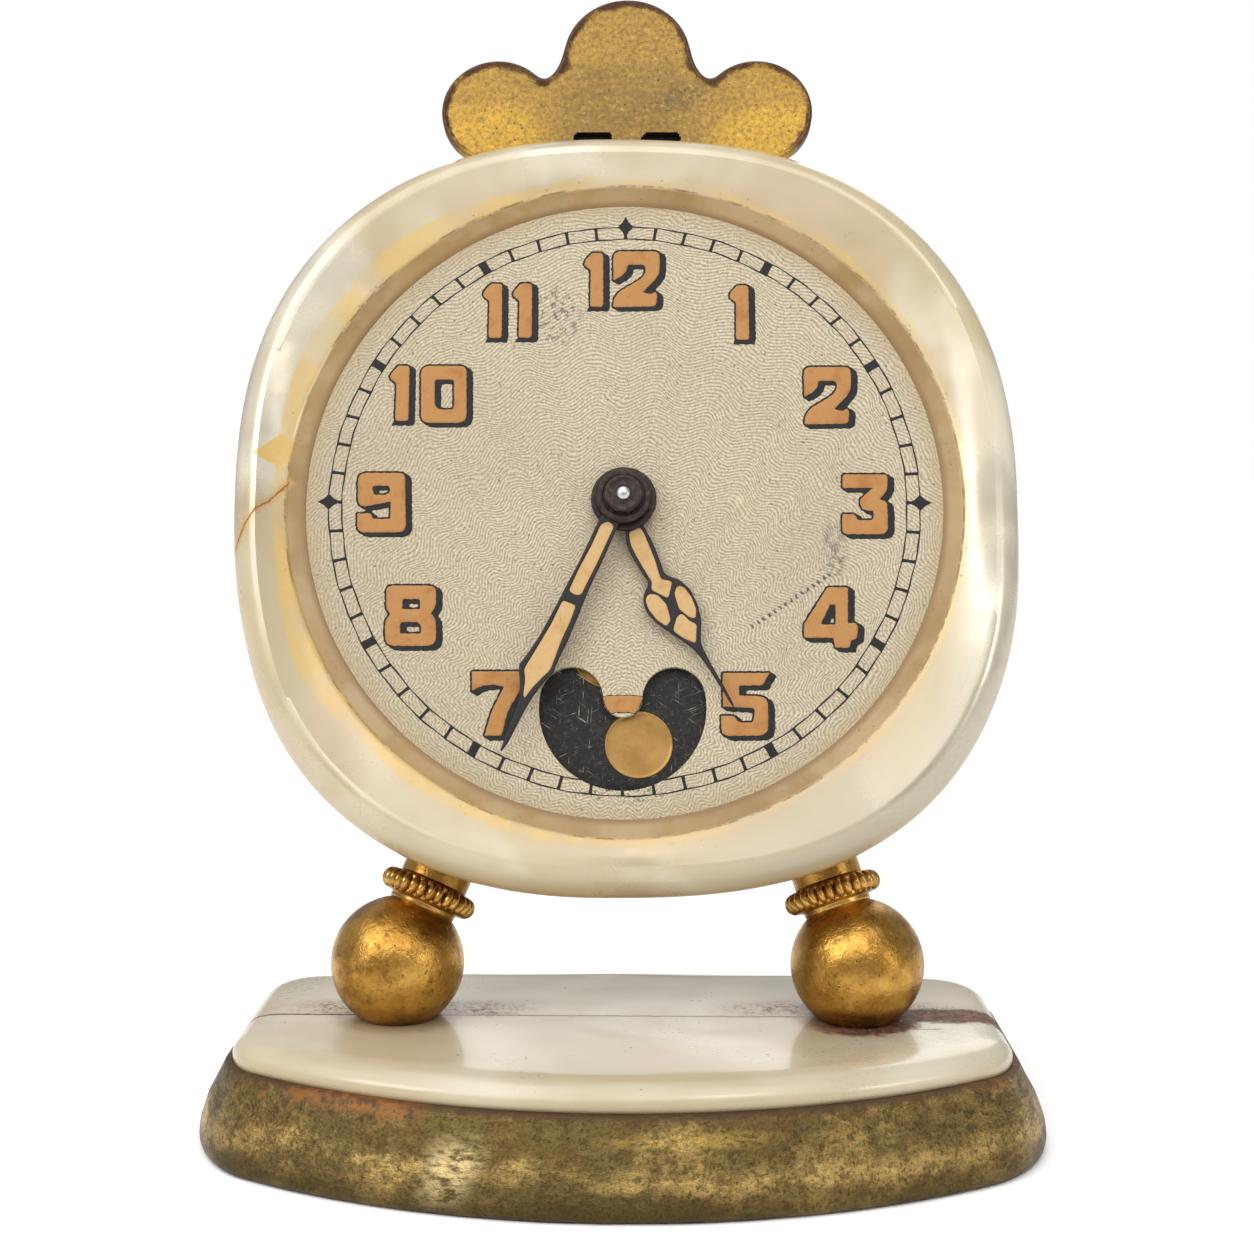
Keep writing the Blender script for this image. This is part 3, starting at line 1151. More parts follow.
FIGURES = {
    "0": Numeral(((-2.06, 2.62, 0.84), (1.94, 2.62, 0.63), (2.06, -2.62, 0.84), (-1.91, -2.62, 0.73)),
                 (((-0.81, 1.34, 0.31), (0.85, 1.34, 0.26), (0.92, -1.38, 0.31), (-0.42, -1.38, 0.31),
                   (-0.75, -0.96, 0.31)),)),
    "1": Numeral(((-0.22, 2.58, 0.16), (0.66, 2.58, 0.21), (0.8, 2.33, 0.16), (0.84, -2.5, 0.3),
                  (-0.34, -2.5, 0.3), (-0.32, 0.94, 0.16), (-0.88, 1.38, 0.24), (-0.86, 1.77, 0.2))),
    "2": Numeral(((-2.08, 2.63, 0.73), (2.08, 2.64, 0.6), (2.04, 0.39, 0.63), (0.58, -1.24, 0.1),
                  (1.29, -1.4, 0.16), (1.7, -1.16, 0.16), (1.84, -1.49, 0.16), (1.77, -2.56, 0.42),
                  (-2.05, -2.64, 0.19), (-1.98, -1.88, 0.31), (-1.58, -1.21, 0.42), (0.61, 0.17, 0.73),
                  (0.83, 0.89, 0.26), (0.69, 1.34, 0.21), (-0.76, 1.34, 0.21), (-0.85, 0.81, 0.26),
                  (-1.14, 0.39, 0.21), (-1.56, 0.11, 0.26), (-2.02, -0.14, 0.1))),
    "3": Numeral(((-1.88, 2.67, 0.26), (2.0, 2.67, 0.37), (1.96, 1.32, 0.37), (1.29, 0.45, 0.13),
                  (1.89, 0.22, 0.31), (1.95, -0.73, 0.31), (1.9, -2.66, 0.63), (-2.0, -2.67, 0.47),
                  (-1.96, -0.87, 0.08), (-0.91, -0.87, 0.13), (-0.63, -1.4, 0.16), (0.69, -1.4, 0.21),
                  (0.71, -0.63, 0.13), (-0.2, -0.48, 0.1), (-0.44, 0.0, 0.16), (-0.39, 0.47, 0.16),
                  (0.69, 1.45, 0.06), (-1.9, 1.44, 0.06))),
    "4": Numeral(((-0.24, 2.63, 0.12), (1.51, 2.63, 0.19), (1.45, -0.48, 0.12), (2.16, -0.47, 0.24),
                  (2.29, -0.91, 0.14), (2.18, -1.83, 0.19), (1.66, -2.02, 0.1), (1.55, -2.63, 0.14),
                  (0.33, -2.63, 0.14), (0.2, -1.93, 0.08), (0.16, -1.78, 0.08), (-2.29, -1.79, 0.29),
                  (-2.29, -0.63, 0.19)),
                 (((-0.03, 1.1, 0.08), (0.41, 1.1, 0.1), (0.38, -0.61, 0.1), (-0.84, -0.61, 0.12)),)),
    "5": Numeral(((-1.93, 2.69, 0.08), (2.06, 2.7, 0.1), (1.42, 1.62, 0.1), (-0.53, 1.59, 0.12),
                  (-0.53, 0.76, 0.08), (1.41, 0.72, 0.58), (1.89, 0.29, 0.58), (1.89, -2.64, 0.87),
                  (-2.06, -2.7, 0.68), (-2.06, -0.96, 0.1), (-0.98, -0.98, 0.12), (-0.61, -1.52, 0.24),
                  (0.64, -1.54, 0.29), (0.76, -0.33, 0.24), (-1.91, -0.2, 0.08))),
    "7": Numeral(((-2.1, 2.74, 0.08), (2.07, 2.76, 0.2), (2.1, 1.29, 0.61), (1.0, -0.73, 0.41),
                  (0.54, -2.75, 0.15), (-0.92, -2.76, 0.1), (-0.34, -0.63, 0.61), (0.64, 1.39, 0.08),
                  (-0.14, 1.59, 0.31), (-1.23, 1.5, 0.51), (-2.03, 1.02, 0.06))),
    "8": Numeral(((-2.2, 2.63, 0.56), (2.07, 2.64, 0.66), (2.09, 0.82, 0.36), (1.67, 0.23, 0.1),
                  (2.12, -0.31, 0.41), (2.21, -2.63, 0.87), (-2.14, -2.64, 0.82), (-2.21, -0.48, 0.41),
                  (-1.79, 0.12, 0.1), (-2.13, 0.55, 0.36)),
                 (((-0.77, 1.43, 0.15), (0.7, 1.43, 0.15), (0.73, 0.58, 0.15), (-0.75, 0.57, 0.15)),
                  ((-0.91, -0.58, 0.22), (0.56, -0.57, 0.15), (0.85, -0.88, 0.15), (0.87, -1.54, 0.15),
                   (-0.88, -1.55, 0.18)))),
    "9": Numeral(((-2.16, 2.67, 0.84), (1.94, 2.67, 0.52), (2.16, -2.66, 0.73), (-2.02, -2.67, 0.63),
                  (-2.08, -0.98, 0.08), (-0.91, -0.95, 0.13), (-0.69, -1.45, 0.21),
                  (0.78, -1.45, 0.16), (0.75, 0.06, 0.08), (0.41, 0.0, 0.1), (-1.45, -0.37, 0.16),
                  (-2.05, -0.19, 0.63)),
                 (((-0.86, 1.49, 0.26), (0.64, 1.49, 0.31), (0.66, 0.84, 0.21), (0.13, 0.68, 0.16),
                   (-0.71, 0.73, 0.16)),)),
    "6": Numeral(((-1.7, 0.02, 0.05), (-0.8, 0.14, 0.2), (0.8, 0.14, 0.2), (1.7, 0.02, 0.05),
                  (1.42, -0.85, 0.3), (1.06, -1.42, 0.1), (0.5, -1.3, 0.1), (-0.5, -1.3, 0.1),
                  (-1.0, -1.42, 0.1), (-1.42, -0.85, 0.3))),
}


@dataclass
class Dial:
    """Dial plate with its printed track, diamonds, numerals and moon aperture."""

    print_height: float = 0.012
    lume_height: float = 0.075
    outline_width: float = 0.15
    drop: Point = (0.42, -0.27)
    track_outer: float = 25.34
    track_inner: float = 24.2
    line_width: float = 0.12
    tick_width: float = 0.3
    block_width: float = 0.78
    block_reach: float = 0.05
    bar_lift: float = 0.002
    bar_points: int = 6
    diamond: Point = (0.72, 1.0)
    foot: tuple[Point, ...] = ((-0.62, -2.92), (-0.4, -2.45), (1.0, -2.45), (1.34, -2.92))
    six: tuple[str, float, float] = ("6", 0.0, -16.98)
    places: tuple[tuple[str, float, float], ...] = (
        ("1", -2.75, 20.33), ("2", 0.97, 20.43), ("1", 10.02, 17.28), ("2", 17.59, 9.66),
        ("3", 20.62, -0.13), ("4", 17.53, -10.07), ("5", 10.29, -17.57), ("7", -10.63, -17.55),
        ("8", -17.97, -10.02), ("9", -20.79, -0.06), ("1", -19.55, 9.79), ("0", -15.72, 9.74),
        ("1", -11.61, 17.43), ("1", -8.98, 17.45))

    def build(self) -> None:
        """Finish the plate, print the track and lay the numerals."""
        dress("dial", Coat.DIAL)
        self._track()
        self._figures()
        log.info("dial: track, diamonds and %d figures", len(self.places) + 1)

    def _track(self) -> None:
        """Minute track, its hour blocks and the three diamonds."""
        draft = Draft()
        for radius in (self.track_outer, self.track_inner):
            self._ring(draft, radius)
        for minute in range(60):
            block = minute % 5 == 0 and minute % 15 != 0
            self._bar(draft, minute, block)
        for minute in (0, 15, 45):
            self._diamond(draft, math.radians(6.0 * minute))
        track = draft.build("minute_track", head_matrix(), Coat.PRINT, weld=0.0)
        settle(track, "case")

    def _section(self, flat: float, lift: float = 0.0) -> tuple[Point, ...]:
        """Side and height of a printed line's corners; flat is the share of its width on top."""
        high = self.print_height + lift
        return (-1.0, lift), (-flat, high), (flat, high), (1.0, lift)

    def _ring(self, draft: Draft, radius: float) -> None:
        """One slightly wavering ring line."""
        turn = turns(720)
        middle = radius + 0.025 * np.sin(23 * turn) + 0.02 * np.sin(57 * turn + 1.0)
        half = self.line_width / 2 * (1.0 + 0.25 * np.sin(41 * turn + radius))
        draft.grid(np.array([ring(math.pi / 2 - turn, middle + side * half, height)
                             for side, height in self._section(0.8)]))

    def _bar(self, draft: Draft, minute: int, block: bool) -> None:
        """One tick or block, slightly waisted and askew."""
        grow = self.block_reach if block else 0.0
        along = np.linspace(self.track_inner - grow, self.track_outer + grow, self.bar_points)
        width, flare = (self.block_width, 0.12) if block else (self.tick_width, 0.3)
        ends = np.linspace(-1.0, 1.0, self.bar_points)
        half = width / 2 * (1.0 - flare * 0.5 + flare * ends ** 2)
        lean = ends * 0.04 * math.sin(7.3 * minute)
        rows = []
        for side, height in self._section(0.9, self.bar_lift):
            x, y = swung(side * half + lean, along, math.radians(6.0 * minute))
            rows.append(np.stack([x, y, np.full(self.bar_points, height)], axis=1))
        draft.grid(np.array(rows), closed=False)

    def _diamond(self, draft: Draft, bearing: float) -> None:
        """Diamond on the outer line, with slightly hollow sides."""
        hollow = 0.42
        corners = []
        for across, up in ((0, 1), (hollow, hollow), (1, 0), (hollow, -hollow), (0, -1),
                           (-hollow, -hollow), (-1, 0), (-hollow, hollow)):
            x, y = across * self.diamond[0], self.track_outer + up * self.diamond[1]
            corners.append((*swung(x, y, bearing), self.print_height + 0.003))
        draft.add(np.array(corners), [tuple(range(7, -1, -1))])

    def _figures(self) -> None:
        """Numerals: lume over a black outline and drop."""
        lume, ink = Draft(), Draft()
        for order, (figure, across, up) in enumerate(self.places + (self.six,)):
            shape = FIGURES[figure].field()
            top = Sheet(ragged(shape, 0.02, 3.0 * order), (-2.5, -3.0), (2.5, 3.0))
            if figure == "6":
                backing = grown(shape, 0.05)
            else:
                backing = dragged(grown(shape, self.outline_width), self.drop)
            if figure == "1":
                backing = both(backing, outline_field(np.array(self.foot)))
            flat = Sheet(ragged(backing, 0.03, 5.0 + 2.0 * order), (-2.8, -3.4), (3.2, 3.2), 0.07)
            for draft, sheet, face in ((lume, top, crowned(0.0, self.lume_height, 0.3)),
                                       (ink, flat, level(self.print_height))):
                part = sheet.solid(face, level(0.0))
                draft.add(np.concatenate(part.points) + (across, up, 0.0), part.faces)
        settle(lume.build("numeral_lume", head_matrix(), Coat.NUMERAL, weld=0.0), "case")
        settle(ink.build("numeral_ink", head_matrix(), Coat.PRINT, weld=0.0), "case")


# ---------------------------------------------------------------- hands

@dataclass
class Hand:
    """Open frame hand with lume in its cells and a turned hub.

    Outlines lie along the hand: x across it, y from the hub to the tip.
    """

    name: str
    body: str
    bearing: float
    low: float
    hub_radius: float
    hub_height: float
    bore: float
    outline: tuple[Point, ...]
    cells: tuple[tuple[Point, ...], ...]
    thickness: float = 0.2
    start: float = 1.8
    margin: float = 0.3

    def build(self) -> None:
        """Frame, lume and hub."""
        turn = head_matrix() @ Matrix.Rotation(-math.radians(self.bearing), 4, "Z")
        frame_shape = outline_field(rounded(self.outline, 0.35))
        cells = reduce(both, (outline_field(rounded(cell, 0.25)) for cell in self.cells))
        reach = max(abs(x) for x, _ in self.outline) + self.margin
        length = max(y for _, y in self.outline) + self.margin
        bounds = (-reach, self.start), (reach, length)
        half = self.thickness / 2
        middle = self.low + half
        strip = Sheet(cut(frame_shape, cells), *bounds, 0.055)
        strip = strip.solid(crowned(middle, half, 0.16), crowned(middle, -half, 0.16))
        paste = Sheet(grown(cells, 0.06), *bounds, 0.06)
        paste = paste.solid(crowned(middle, half * 0.55, 0.3), level(self.low + 0.04))
        hub = Draft()
        hub.grid(lathe(self._hub(), 72))
        hand = strip.build(self.name + "_frame", turn, Coat.HAND)
        collar = hub.build(self.name + "_hub", turn, Coat.HUB, sharp=30.0)
        lume = paste.build(self.name + "_lume", turn, Coat.HAND_LUME)
        for piece in (hand, collar, lume):
            settle(piece, self.body)
        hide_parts(self.name)
        log.info("%s: frame, hub and lume in %d cells", self.name, len(self.cells))

    def _hub(self) -> list[Point]:
        """Closed section of the hub, with a shallow dish on top."""
        radius, low, top = self.hub_radius, self.low, self.low + self.hub_height
        section = eased([(self.bore, low), (radius - 0.1, low), (radius, low + 0.08),
                         (radius, top - 0.12), (radius - 0.12, top), (radius - 0.5, top),
                         (radius - 0.58, top - 0.05), (self.bore, top - 0.05)], 0.05)
        return section + section[:1]


HOUR_HAND = Hand(
    name="hour_hand", body="hour_work", bearing=152.7, low=0.75,
    hub_radius=2.8, hub_height=0.55, bore=1.5,
    outline=((0.9, 1.9), (1.1, 2.55), (1.56, 3.46), (1.7, 4.85), (1.56, 6.45), (1.44, 7.53),
             (2.23, 8.12), (2.66, 8.81), (2.79, 9.81), (2.43, 10.98), (1.78, 12.29), (1.16, 13.37),
             (0.71, 14.35), (0.47, 15.45), (0.33, 16.87), (0.2, 18.53), (0.11, 20.0), (0.0, 20.3),
             (-0.11, 19.9), (-0.09, 18.06), (0.0, 15.81), (-0.05, 14.12), (-1.02, 12.37),
             (-1.38, 11.04), (-1.42, 9.53), (-0.97, 8.39), (-0.28, 7.72), (-0.11, 7.33), (-0.32, 5.9),
             (-0.47, 4.44), (-0.45, 3.04), (-0.4, 1.9)),
    cells=(((0.92, 2.8), (-0.09, 2.83), (-0.14, 3.53), (-0.05, 4.56), (0.08, 5.87), (0.4, 7.66),
            (-0.35, 8.3), (0.6, 9.43), (1.54, 8.09), (1.15, 7.6), (1.2, 6.94), (1.3, 5.06),
            (1.28, 3.83)),
           ((1.91, 8.36), (1.29, 8.75), (0.98, 9.84), (1.29, 11.19), (1.83, 11.52), (2.28, 10.68),
            (2.49, 9.51), (2.36, 8.66)),
           ((-0.61, 8.81), (-1.01, 9.17), (-1.18, 10.19), (-1.05, 11.34), (-0.67, 12.0),
            (-0.27, 11.76), (0.19, 10.68), (-0.06, 9.29)),
           ((0.61, 11.16), (0.16, 11.16), (-0.11, 12.06), (-0.5, 12.5), (0.32, 13.93), (1.0, 13.13),
            (1.5, 12.11), (1.06, 11.61))))

MINUTE_HAND = Hand(
    name="minute_hand", body="minute_work", bearing=205.2, low=1.6,
    hub_radius=2.35, hub_height=0.6, bore=1.02,
    outline=((-0.6, 1.85), (-0.68, 2.6), (-0.82, 5.48), (-0.87, 8.61), (-0.98, 10.2), (-1.2, 13.21),
             (-1.2, 15.31), (-1.31, 16.4), (-1.07, 16.76), (-0.89, 17.63), (-0.66, 18.71),
             (-0.56, 19.9), (-0.53, 21.3), (-0.5, 23.16), (-0.34, 24.05), (-0.2, 24.1), (-0.08, 23.1),
             (0.1, 21.46), (0.2, 19.84), (0.4, 19.27), (0.81, 18.29), (1.28, 17.48), (1.63, 16.92),
             (1.37, 15.68), (1.13, 13.8), (1.04, 11.3), (1.02, 9.39), (0.94, 6.99), (0.97, 4.82),
             (1.02, 2.87), (0.95, 1.85)),
    cells=(((0.67, 3.01), (0.19, 2.52), (-0.37, 2.7), (-0.41, 4.02), (-0.46, 6.1), (-0.45, 7.76),
            (-0.45, 9.3), (0.03, 9.48), (0.6, 9.38), (0.66, 7.42), (0.59, 4.95)),
           ((0.7, 10.36), (-0.47, 10.3), (-0.62, 11.71), (-0.66, 13.49), (-0.84, 15.15), (-0.93, 16.2),
            (-0.6, 17.03), (-0.2, 18.31), (-0.06, 19.25), (0.16, 18.95), (0.52, 17.86), (1.04, 17.0),
            (0.94, 15.84), (0.8, 14.16), (0.68, 12.62))))


@dataclass
class Collet:
    """Dished collet that holds the minute hand on the cannon pinion."""

    radius: float = 1.6
    low: float = 2.2
    rise: float = 0.6
    bore: float = 0.65
    pin: float = 0.62
    pin_rise: float = 0.42

    def build(self) -> None:
        """Collet over the cannon pinion's own head, a hair proud of it, and the pin's dome."""
        low, top, bore, rim = self.low, self.low + self.rise, self.bore, self.radius + 0.03
        dish = eased([(self.radius - 0.2, low), (rim, low), (rim, top), (self.radius - 0.1, top + 0.08),
                      (self.radius - 0.3, top + 0.08), (self.radius - 0.42, top + 0.02),
                      (bore + 0.2, top + 0.02), (bore + 0.1, top + 0.06), (bore, top + 0.02),
                      (bore, top)], 0.06)
        draft, tip = Draft(), Draft()
        draft.grid(lathe(dish, 72))
        settle(draft.build("hand_collet", head_matrix(), Coat.HUB, sharp=30.0), "minute_work")
        dress("cannon_pinion", Coat.HUB)
        dome = [(self.pin * math.cos(t), top + self.pin_rise * math.sin(t))
                for t in np.linspace(0.0, math.pi / 2, 8)[1:-1]]
        dome = [(self.pin, low), (self.pin, top), *dome, (0.001, top + self.pin_rise)]
        tip.grid(lathe(dome, 48))
        settle(tip.build("centre_pin", head_matrix(), Coat.STEEL, sharp=60.0), "centre_work")
        log.info("collet and centre pin")


# ---------------------------------------------------------------- moon

@dataclass
class MoonWork:
    """Moon disc and its two inlaid moons."""

    orbit: float = 4.1
    bearing: float = -19.4
    radius: float = 2.86
    face: float = -0.68

    def build(self) -> None:
        """Black disc from the frame, and moons with a raised bright rim."""
        dress("moon_disc", Coat.NIGHT)
        draft = Draft()
        radius, face, low = self.radius, self.face, self.face - 0.3
        profile = eased([(0.02, face - 0.02), (radius - 0.24, face - 0.02), (radius - 0.12, face + 0.05),
                         (radius - 0.02, face + 0.04), (radius, face - 0.05), (radius, low), (0.02, low)],
                        0.06)
        angle = math.radians(-90.0 - self.bearing)
        for flip in (1.0, -1.0):
            draft.grid(lathe(profile, 80) + (self.orbit * math.cos(angle) * flip,
                                             self.orbit * math.sin(angle) * flip - MOON_DROP, 0.0))
        moons = draft.build("inlaid_moons", head_matrix(), Coat.MOON, sharp=30.0)
        settle(moons, "moon_work")
        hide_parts("moon_inlays")
        log.info("moon disc with two moons")


# ---------------------------------------------------------------- bezel and crest

@dataclass
class Bezel:
    """Cushion-shaped pearl bezel, dished towards the dial."""

    half_width: float = 33.6
    half_height: float = 33.72
    squareness: float = 2.42
    low_squareness: float = 2.52
    sway: float = 0.45
    sway_depth: float = 15.0
    lift: float = 0.12
    back: float = -3.0
    crest: Point = (2.3, 2.35)
    lip: float = 29.0
    lip_height: float = 0.62
    sag: float = 0.16
    seat: float = 28.9
    steps: int = 420

    def rim(self, count: int) -> tuple[np.ndarray, np.ndarray]:
        """Bearing and distance of points round the outer edge."""
        turn = turns(count)
        c, s = np.cos(turn), np.sin(turn)
        power = np.where(s < 0.0, self.low_squareness, self.squareness)
        reach = np.abs(c / self.half_width) ** power + np.abs(s / self.half_height) ** power
        reach = reach ** (-1.0 / power) + 0.10 * np.sin(3 * turn + 0.4) + 0.05 * np.sin(7 * turn + 1.3)
        down = np.clip(-reach * s / self.sway_depth, 0.0, 1.0)
        x = reach * c + self.sway * down * down * (3.0 - 2.0 * down)
        y = reach * s + self.lift
        return np.arctan2(y, x), np.hypot(x, y)

    def build(self) -> None:
        """Sweep the section round the outline, down the dish and back behind the dial's edge."""
        turn = turns(self.steps)
        bearing, size = self.rim(self.steps)
        inset, top = self.crest
        crest = top + 0.12 * np.sin(2 * turn + 0.6) + 0.07 * np.sin(5 * turn)
        outer = eased([(1.0, self.back), (0.22, -2.2), (0.0, -1.0), (0.02, 0.2), (0.75, 1.45),
                       (1.55, 2.1), self.crest], 0.6, 5)
        rows = [ring(bearing, size - depth, height * (crest / top if height > 0 else 1.0))
                for depth, height in outer]
        crease = size - inset
        for share in np.linspace(0.0, 1.0, 12)[1:]:
            lift = crest + (self.lip_height - crest) * share - self.sag * math.sin(math.pi * share)
            rows.append(ring(bearing, crease + (self.lip - crease) * share, lift))
        cone = self.lip - DIAL_OPENING
        for depth, height in eased([(0.0, 0.6), (0.16, 0.46), (cone - 0.2, 0.1), (cone, 0.03),
                                    (cone, 0.01)], 0.1)[1:]:
            rows.append(ring(bearing, self.lip - depth, height))
        rows += [ring(bearing, self.seat, 0.01), ring(bearing, self.seat, self.back), rows[0]]
        draft = Draft()
        draft.grid(np.array(rows))
        bezel = draft.build("bezel_shell", head_matrix(), Coat.BEZEL, sharp=50.0)
        settle(bezel, "case")
        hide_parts("pearl_bezel")
        log.info("bezel: %d points", len(bezel.data.vertices))


@dataclass
class FrontPlate:
    """Front plate: the cushion behind the bezel and the trefoil crest with its raised rim."""

    back: float = -4.0
    face: float = -3.0
    rim_rise: float = 0.3
    rim_width: float = 0.5
    inset: float = 1.3
    hole: float = 28.9
    hidden_top: float = 32.4
    slot_places: tuple[float, float] = (-3.1, 3.1)
    slot_size: tuple[float, float] = (1.72, 0.58)
    slot_height: float = 35.36
    slot_depth: float = 0.7

    @staticmethod
    def crest(x: np.ndarray, y: np.ndarray) -> np.ndarray:
        """Distance field of the trefoil, down to behind the bezel."""
        height, radius = TOP_LOBE
        spread, wing_height, wing_radius = WING
        side = np.abs(x)

        def blended(first: np.ndarray, second: np.ndarray, size: float) -> np.ndarray:
            """Union of two fields with a rounded valley."""
            share = np.clip(0.5 + 0.5 * (second - first) / size, 0.0, 1.0)
            return second + (first - second) * share - size * share * (1.0 - share)

        top = np.hypot(x, y - height) - radius
        wings = np.hypot(side - spread, y - wing_height) - wing_radius
        web = np.maximum(side - 9.6, np.abs(y - 35.2) - 5.0) - 0.2
        neck = np.maximum((side - 5.2 - (43.2 - y) * 1.1) * 0.67, np.abs(y - 39.2) - 4.0)
        shape = blended(blended(blended(top, neck, 1.6), web, 1.4), wings, 0.9)
        return np.maximum(shape, 30.6 - y)

    def build(self) -> None:
        """Crest plate, its rim and slots, and the cushion ring."""
        sheet = Sheet(self.crest, (-17.6, 30.4), (17.6, 50.0), 0.14)
        plate = sheet.solid(self._front, self._rear)
        plate = plate.build("crest_plate", head_matrix(), Coat.CREST, sharp=55.0)
        self._dress_slots(plate)
        settle(plate, "case")
        settle(self._backing(), "case")
        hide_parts("front_plate")
        log.info("front plate with crest")

    def _front(self, points: np.ndarray, depth: np.ndarray) -> np.ndarray:
        """Height of the front: a rolled rim round an uneven field with two sunk slots."""
        x, y = points.T
        share = 1.0 - np.abs(depth - self.rim_width * 0.45) / (self.rim_width * 0.55)
        roll = np.sin(np.clip(share, 0.0, 1.0) * math.pi / 2) * self.rim_rise
        field = 0.03 * np.sin(0.6 * x + 1.0) * np.sin(0.7 * y)
        wide, high = self.slot_size
        rise = np.abs(y - self.slot_height + 0.06 * np.sin(5.0 * x)) / high
        slots = [np.maximum(np.abs(x - place) - wide + 0.4 * rise * rise, rise - 1.0)
                 for place in self.slot_places]
        sunk = np.where(np.min(slots, axis=0) < 0.0, self.slot_depth, 0.0)
        inner = depth > self.rim_width
        return self.face + roll * (depth < self.rim_width) + field * inner - sunk

    def _rear(self, points: np.ndarray, depth: np.ndarray) -> np.ndarray:
        """Height of the back, stepped in where the cushion covers it."""
        return np.where(points[:, 1] < self.hidden_top, self.back + 0.3, self.back)

    def _backing(self) -> bpy.types.Object:
        """Cushion-shaped ring behind the bezel, with small chamfers."""
        bearing, size = Bezel().rim(360)
        edge = size - self.inset
        section = ((self.hole, self.face), (edge - 0.1, self.face), (edge, self.face - 0.12),
                   (edge, self.back + 0.12), (edge - 0.1, self.back), (self.hole, self.back),
                   (self.hole, self.face))
        draft = Draft()
        draft.grid(np.array([ring(bearing, reach, height) for reach, height in section]))
        return draft.build("bezel_backing", head_matrix(), Coat.SHEET)

    def _dress_slots(self, plate: bpy.types.Object) -> None:
        """Give the floors and walls of the slots their own black, face by face."""
        mesh = plate.data
        mesh.materials.append(Coat.SLOT.value.material())
        back = np.array(head_matrix().inverted())
        middles = np.array([face.center[:] for face in mesh.polygons]) @ back[:3, :3].T + back[:3, 3]
        x, y, z = middles.T
        wide, high = (size + 0.1 for size in self.slot_size)
        slot = np.any([np.abs(x - place) < wide for place in self.slot_places], axis=0)
        slot &= (np.abs(y - self.slot_height) < high) & (z < self.face - 0.1) & (z > self.back + 0.05)
        mesh.polygons.foreach_set("material_index", slot.astype(np.int32))


# ---------------------------------------------------------------- feet

